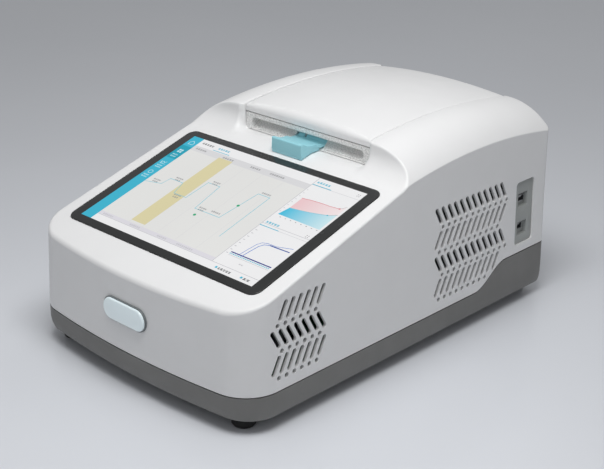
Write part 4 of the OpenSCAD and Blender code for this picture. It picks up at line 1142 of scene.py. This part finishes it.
def ui_words(kind, u0, u1, v, size, layer):
    """A row of small block marks that stands for a label and spells nothing."""
    n = max(2, round((u1 - u0) / (size * 1.25)))
    step = (u1 - u0) / n
    for i in range(n):
        a, b = u0 + i * step, u0 + (i + 0.78) * step
        tall = size * (1, 0.75, 0.9, 0.6)[(i * 3 + n) % 4]
        ui_rect(kind, a, b, v - size / 2, v - size / 2 + tall * 0.34, layer)
        ui_rect(kind, a + (b - a) * 0.3, a + (b - a) * 0.62, v - size / 2, v - size / 2 + tall, layer)
        ui_rect(kind, a, b, v + size * 0.12, v + size * 0.34, layer)


def ui_dot(kind, u, v, r, layer):
    ui_poly(kind, circle_pts(u, v, r, 20), layer)


PIC_U, PIC_V = 108.5, 71.3
SIDE_U, SPLIT_U = -95.0, 54.0
ui_rect("paper", -PIC_U, PIC_U, -PIC_V, PIC_V, 1)
ui_rect("teal", -PIC_U, SIDE_U, -PIC_V, PIC_V, 2)
ui_poly("teal_dark", [(-PIC_U, 33), (SIDE_U, 33), (SIDE_U, 42.5), (SIDE_U - 1.6, 44),
                      (SIDE_U, 45.5), (SIDE_U, 55), (-PIC_U, 55)], 3)
ui_rect("work", SIDE_U, SPLIT_U, -58, 52, 2)
ui_rect("band", SIDE_U, SPLIT_U, 52, 60, 2)
ui_rect("strip", SIDE_U, SPLIT_U, -62.5, -58, 2)
ui_rect("line", SPLIT_U - 0.3, SPLIT_U + 0.3, -62.8, PIC_V, 3)
ui_rect("line", SIDE_U, PIC_U, -63.1, -62.6, 3)
ui_rect("line", SPLIT_U, PIC_U, -2.8, -2.3, 3)
ui_rect("line", SPLIT_U, PIC_U, 60.3, 60.6, 3)
ui_rect("line", SPLIT_U, PIC_U, -5.9, -5.6, 3)
for u in (-57.6, -39.6, -21, 2, 28):
    ui_rect("band", u, u + 0.35, -58, 52, 3)
ui_rect("yellow", -57.5, -39.5, -55, 54.4, 4)

# sidebar marks: a house, a block of tiles, a chart and a ring, and rows of label marks
ui_line("ice", [(-104.6, 58.6), (-104.6, 62), (-101.8, 64.4), (-99, 62), (-99, 58.6), (-104.6, 58.6)], 0.5, 4)
for du, dv in ((0, 0), (2.9, 0), (0, 2.9), (2.9, 2.9)):
    ui_rect("ice", -104.4 + du, -102.2 + du, 43.4 + dv, 45.6 + dv, 4)
ui_line("ice", [(-105, 26), (-105, 22.4), (-98.6, 22.4)], 0.5, 4)
ui_line("ice", [(-104, 23.4), (-102.4, 25.8), (-100.8, 24.2), (-99, 26.4)], 0.5, 4)
turns = np.linspace(0, 2 * math.pi, 15)
ui_line("ice", [(-101.8 + 2.4 * math.cos(a), 7.6 + 2.4 * math.sin(a)) for a in turns], 0.5, 4)
for v in (39.6, 36.4, 19.4, 16.6, 2.4, -0.6):
    ui_words("ice", -105.4, -98.2, v, 1.5, 4)

# tabs, headings and labels
ui_words("ink", -91, -75.3, 65.8, 2.6, 3)
ui_words("teal", -69.3, -54, 65.8, 2.6, 3)
ui_rect("teal", -72.6, -51, 60.9, 61.6, 3)
for u0, u1 in ((-90.5, -76), (-54, -39.6), (-17.8, -5), (7, 25)):
    ui_words("grey", u0, u1, 56.4, 2.2, 5)
    ui_words("line", u0 + 0.8, u1 + (3 if u0 > 0 else 0), -60.4, 1.9, 5)
for u, v in ((-84.5, -0.6), (-65.5, 10.4), (-46.6, -10), (-27.5, 21.4), (-9.5, -13.6)):
    ui_words("grey", u - 4.6, u + 4.6, v + 1.6, 1.7, 6)
    ui_words("grey", u - 3.6, u + 3.6, v - 1.4, 1.7, 6)
for u, v in ((6, -11.2), (27.6, 30.4)):
    ui_words("grey", u - 5.5, u + 5.5, v, 1.9, 6)

# the temperature profile and its two marks
PROFILE = [(-94, -5.6), (-76, -2), (-74, 8), (-57.6, 8), (-53, -7.4), (-37, -7.4), (-35.6, 19.4),
           (-20.6, 19.4), (-16.8, -15.4), (14, -15.4), (20.2, 27.4), (34.2, 27.4), (34.4, -35)]
ui_line("line_teal", PROFILE, 0.55, 5)
ui_dot("green", 16.6, 5.6, 1.5, 6)
ui_dot("green", -9.6, -22.6, 1.5, 6)

# headings of the two panels on the right
for v, label in ((61.1, 65.6), (-5.6, 0.2)):
    ui_words("teal", 56.4, 72, label, 2.6, 3)
    ui_rect("teal", SPLIT_U, 76, v - 0.4, v + 0.35, 4)
    for du, dv in ((-1.5, -1.5), (0.6, -1.5), (-1.5, 0.6), (0.6, 0.6)):
        ui_rect("grey", 103.4 + du, 104.3 + du, label + dv, label + 0.9 + dv, 3)

# upper right panel: two shaded areas
UPPER = [(60.7, 40.4), (70, 41.6), (81, 42.2), (92, 42.2), (101.6, 43)]
LOWER = [(60.7, 24.4), (70, 25.4), (81, 27), (92, 29.4), (98.4, 31)]
ui_poly("pink", UPPER + [(106, 47.6), (106, 35.2)] + LOWER[::-1], 3)
ui_poly("blue", [(57.6, 13), (106, 12.2), (106, 35.2)] + LOWER[::-1], 3)
ui_line("red_line", UPPER, 0.55, 4)
ui_line("grey", [UPPER[-1], (106, 47.6)], 0.35, 4)
ui_dot("red_line", 101.6, 43, 0.9, 5)
ui_line("line_teal", LOWER, 0.6, 4)
ui_line("grey", [LOWER[-1], (106, 35.2)], 0.35, 4)
ui_dot("teal", 98.4, 31, 0.8, 5)
for i in range(8):
    ui_rect("grey", 62 + i * 6, 63.4 + i * 6, 10.2, 10.9, 3)
    ui_rect("line", 55.6, 57, 17 + i * 5, 17.7 + i * 5, 3)
    ui_rect("line", 56, 58.2, -48.4 + i * 5, -47.6 + i * 5, 3)

# lower right panel: curves above a heavy base line
ui_rect("navy", 59.7, 105.7, -46.3, -45.1, 4)
for i in range(23):
    ui_rect("teal", 59.7 + i * 2, 61 + i * 2, -48.2, -47.2, 4)
ui_rect("line", 59.7, 105.7, -49.8, -49.4, 3)
RISE = [(69, -45), (70.6, -36), (72.4, -28), (75, -24.2), (79.6, -22.8), (90, -22.6)]
ui_line("curve", RISE + [(105, -18.6)], 0.5, 5)
ui_line("curve", [(u + 3.4, v - 1.4) for u, v in RISE] + [(105, -23.6)], 0.7, 5)
ui_line("navy", [(84, -23.8), (105, -23.4)], 0.8, 6)
ui_words("line", 78, 83, -55, 1.6, 3)

# buttons in the footer
for u0, u1 in ((65.8, 81), (95, 103)):
    ui_rect("teal", u0 - 3.4, u0 - 1.2, -68.2, -66, 3)
    ui_words("ink", u0, u1, -67.2, 2.6, 3)

ui_obs = []
for kind, parts in ui_faces.items():
    ob = new_mesh("ui_" + kind, *stack(parts))
    ob.data.materials.append(UI[kind].m)
    ui_obs.append(ob)
picture = join(ui_obs)
finish_piece(picture, "screen_picture", "root", "screen_glass")

# ---------------- port panel

PORT_IN, PORT_FLOOR, SOCKET_X = 1.5, 6.2, HALF_W - 8.0
outer = round_rect(port_size[0] - 0.5, port_size[1] - 0.5, 3.8, 8)
bezel = merge_parts("bezel", [prism(shift(outer, *port_mid), on_wall, -PORT_FLOOR - 1.2, -PORT_IN)])
recess = [prism(shift(round_rect(15.2, 13.6, 0.9, 5), PORT_CY, z), on_wall, -PORT_FLOOR, 1)
          for z in PORT_ZS]
cut(bezel, merge_parts("cut_g", recess))
holes = [prism(shift(round_rect(13.4, 6.0, 0.6, 4), PORT_CY, z), on_side, SOCKET_X - 8, HALF_W)
         for z in PORT_ZS]
cut(bezel, merge_parts("cut_h", holes))
bevel(bezel, 0.35, 2, 40)
shade(bezel, 40)
finish_piece(bezel, "port_panel", "root", "panel_grey", ["port_bezel"])

# ---------------- floor, light and camera

FLOOR = 9000
floor = new_mesh("floor", [(-FLOOR, -FLOOR, 0), (FLOOR, -FLOOR, 0), (FLOOR, FLOOR, 0), (-FLOOR, FLOOR, 0)],
                 [(0, 1, 2, 3)])
floor_mat = Mat("floor_pale")
cloud = floor_mat.span(floor_mat.noise(1.2, 3), 0, 1)
floor_mat.link(floor_mat.mix(cloud, (0.70, 0.72, 0.76), (0.74, 0.76, 0.80)), "Base Color")
floor_mat.link(floor_mat.span(floor_mat.noise(3), 0.20, 0.26), "Roughness")
floor.data.materials.append(floor_mat.m)


def area_light(name, place, target, w, h, power):
    li = bpy.data.lights.new(name, "AREA")
    li.shape = "RECTANGLE"
    li.size, li.size_y, li.energy = w, h, power
    ob = bpy.data.objects.new(name, li)
    ob.location = place
    ob.rotation_euler = (Vector(target) - Vector(place)).to_track_quat("-Z", "Y").to_euler()
    bpy.context.scene.collection.objects.link(ob)


area_light("top_soft", (0.2, -0.25, 0.9), (0, 0, 0.15), 0.5, 0.36, 5.4)
area_light("rear_soft", (-0.3, 1.6, 1.9), (0, 0, 0.15), 1.6, 1.2, 4)

world = bpy.data.worlds.new("world")
world.use_nodes = True
world.node_tree.nodes["Background"].inputs["Color"].default_value = (0.97, 0.98, 1.0, 1)
world.node_tree.nodes["Background"].inputs["Strength"].default_value = 0.33
bpy.context.scene.world = world
bpy.context.scene.view_settings.view_transform = "Standard"

AZ, EL, ROLL = (math.radians(a) for a in (43.376, 22.587, 0.720))
back = Vector((math.sin(AZ) * math.cos(EL), -math.cos(AZ) * math.cos(EL), math.sin(EL)))
right = Vector((0, 0, 1)).cross(back).normalized()
up = back.cross(right)
right, up = math.cos(ROLL) * right + math.sin(ROLL) * up, math.cos(ROLL) * up - math.sin(ROLL) * right
cam = bpy.data.cameras.new("camera")
cam.lens, cam.sensor_width = 76.6, 36
cam.clip_end = 50
camera = bpy.data.objects.new("camera", cam)
turned = Matrix((right, up, back)).transposed().to_4x4()
camera.matrix_world = Matrix.Translation((0.7644, -0.8019, 0.54187)) @ turned
bpy.context.scene.collection.objects.link(camera)
bpy.context.scene.camera = camera
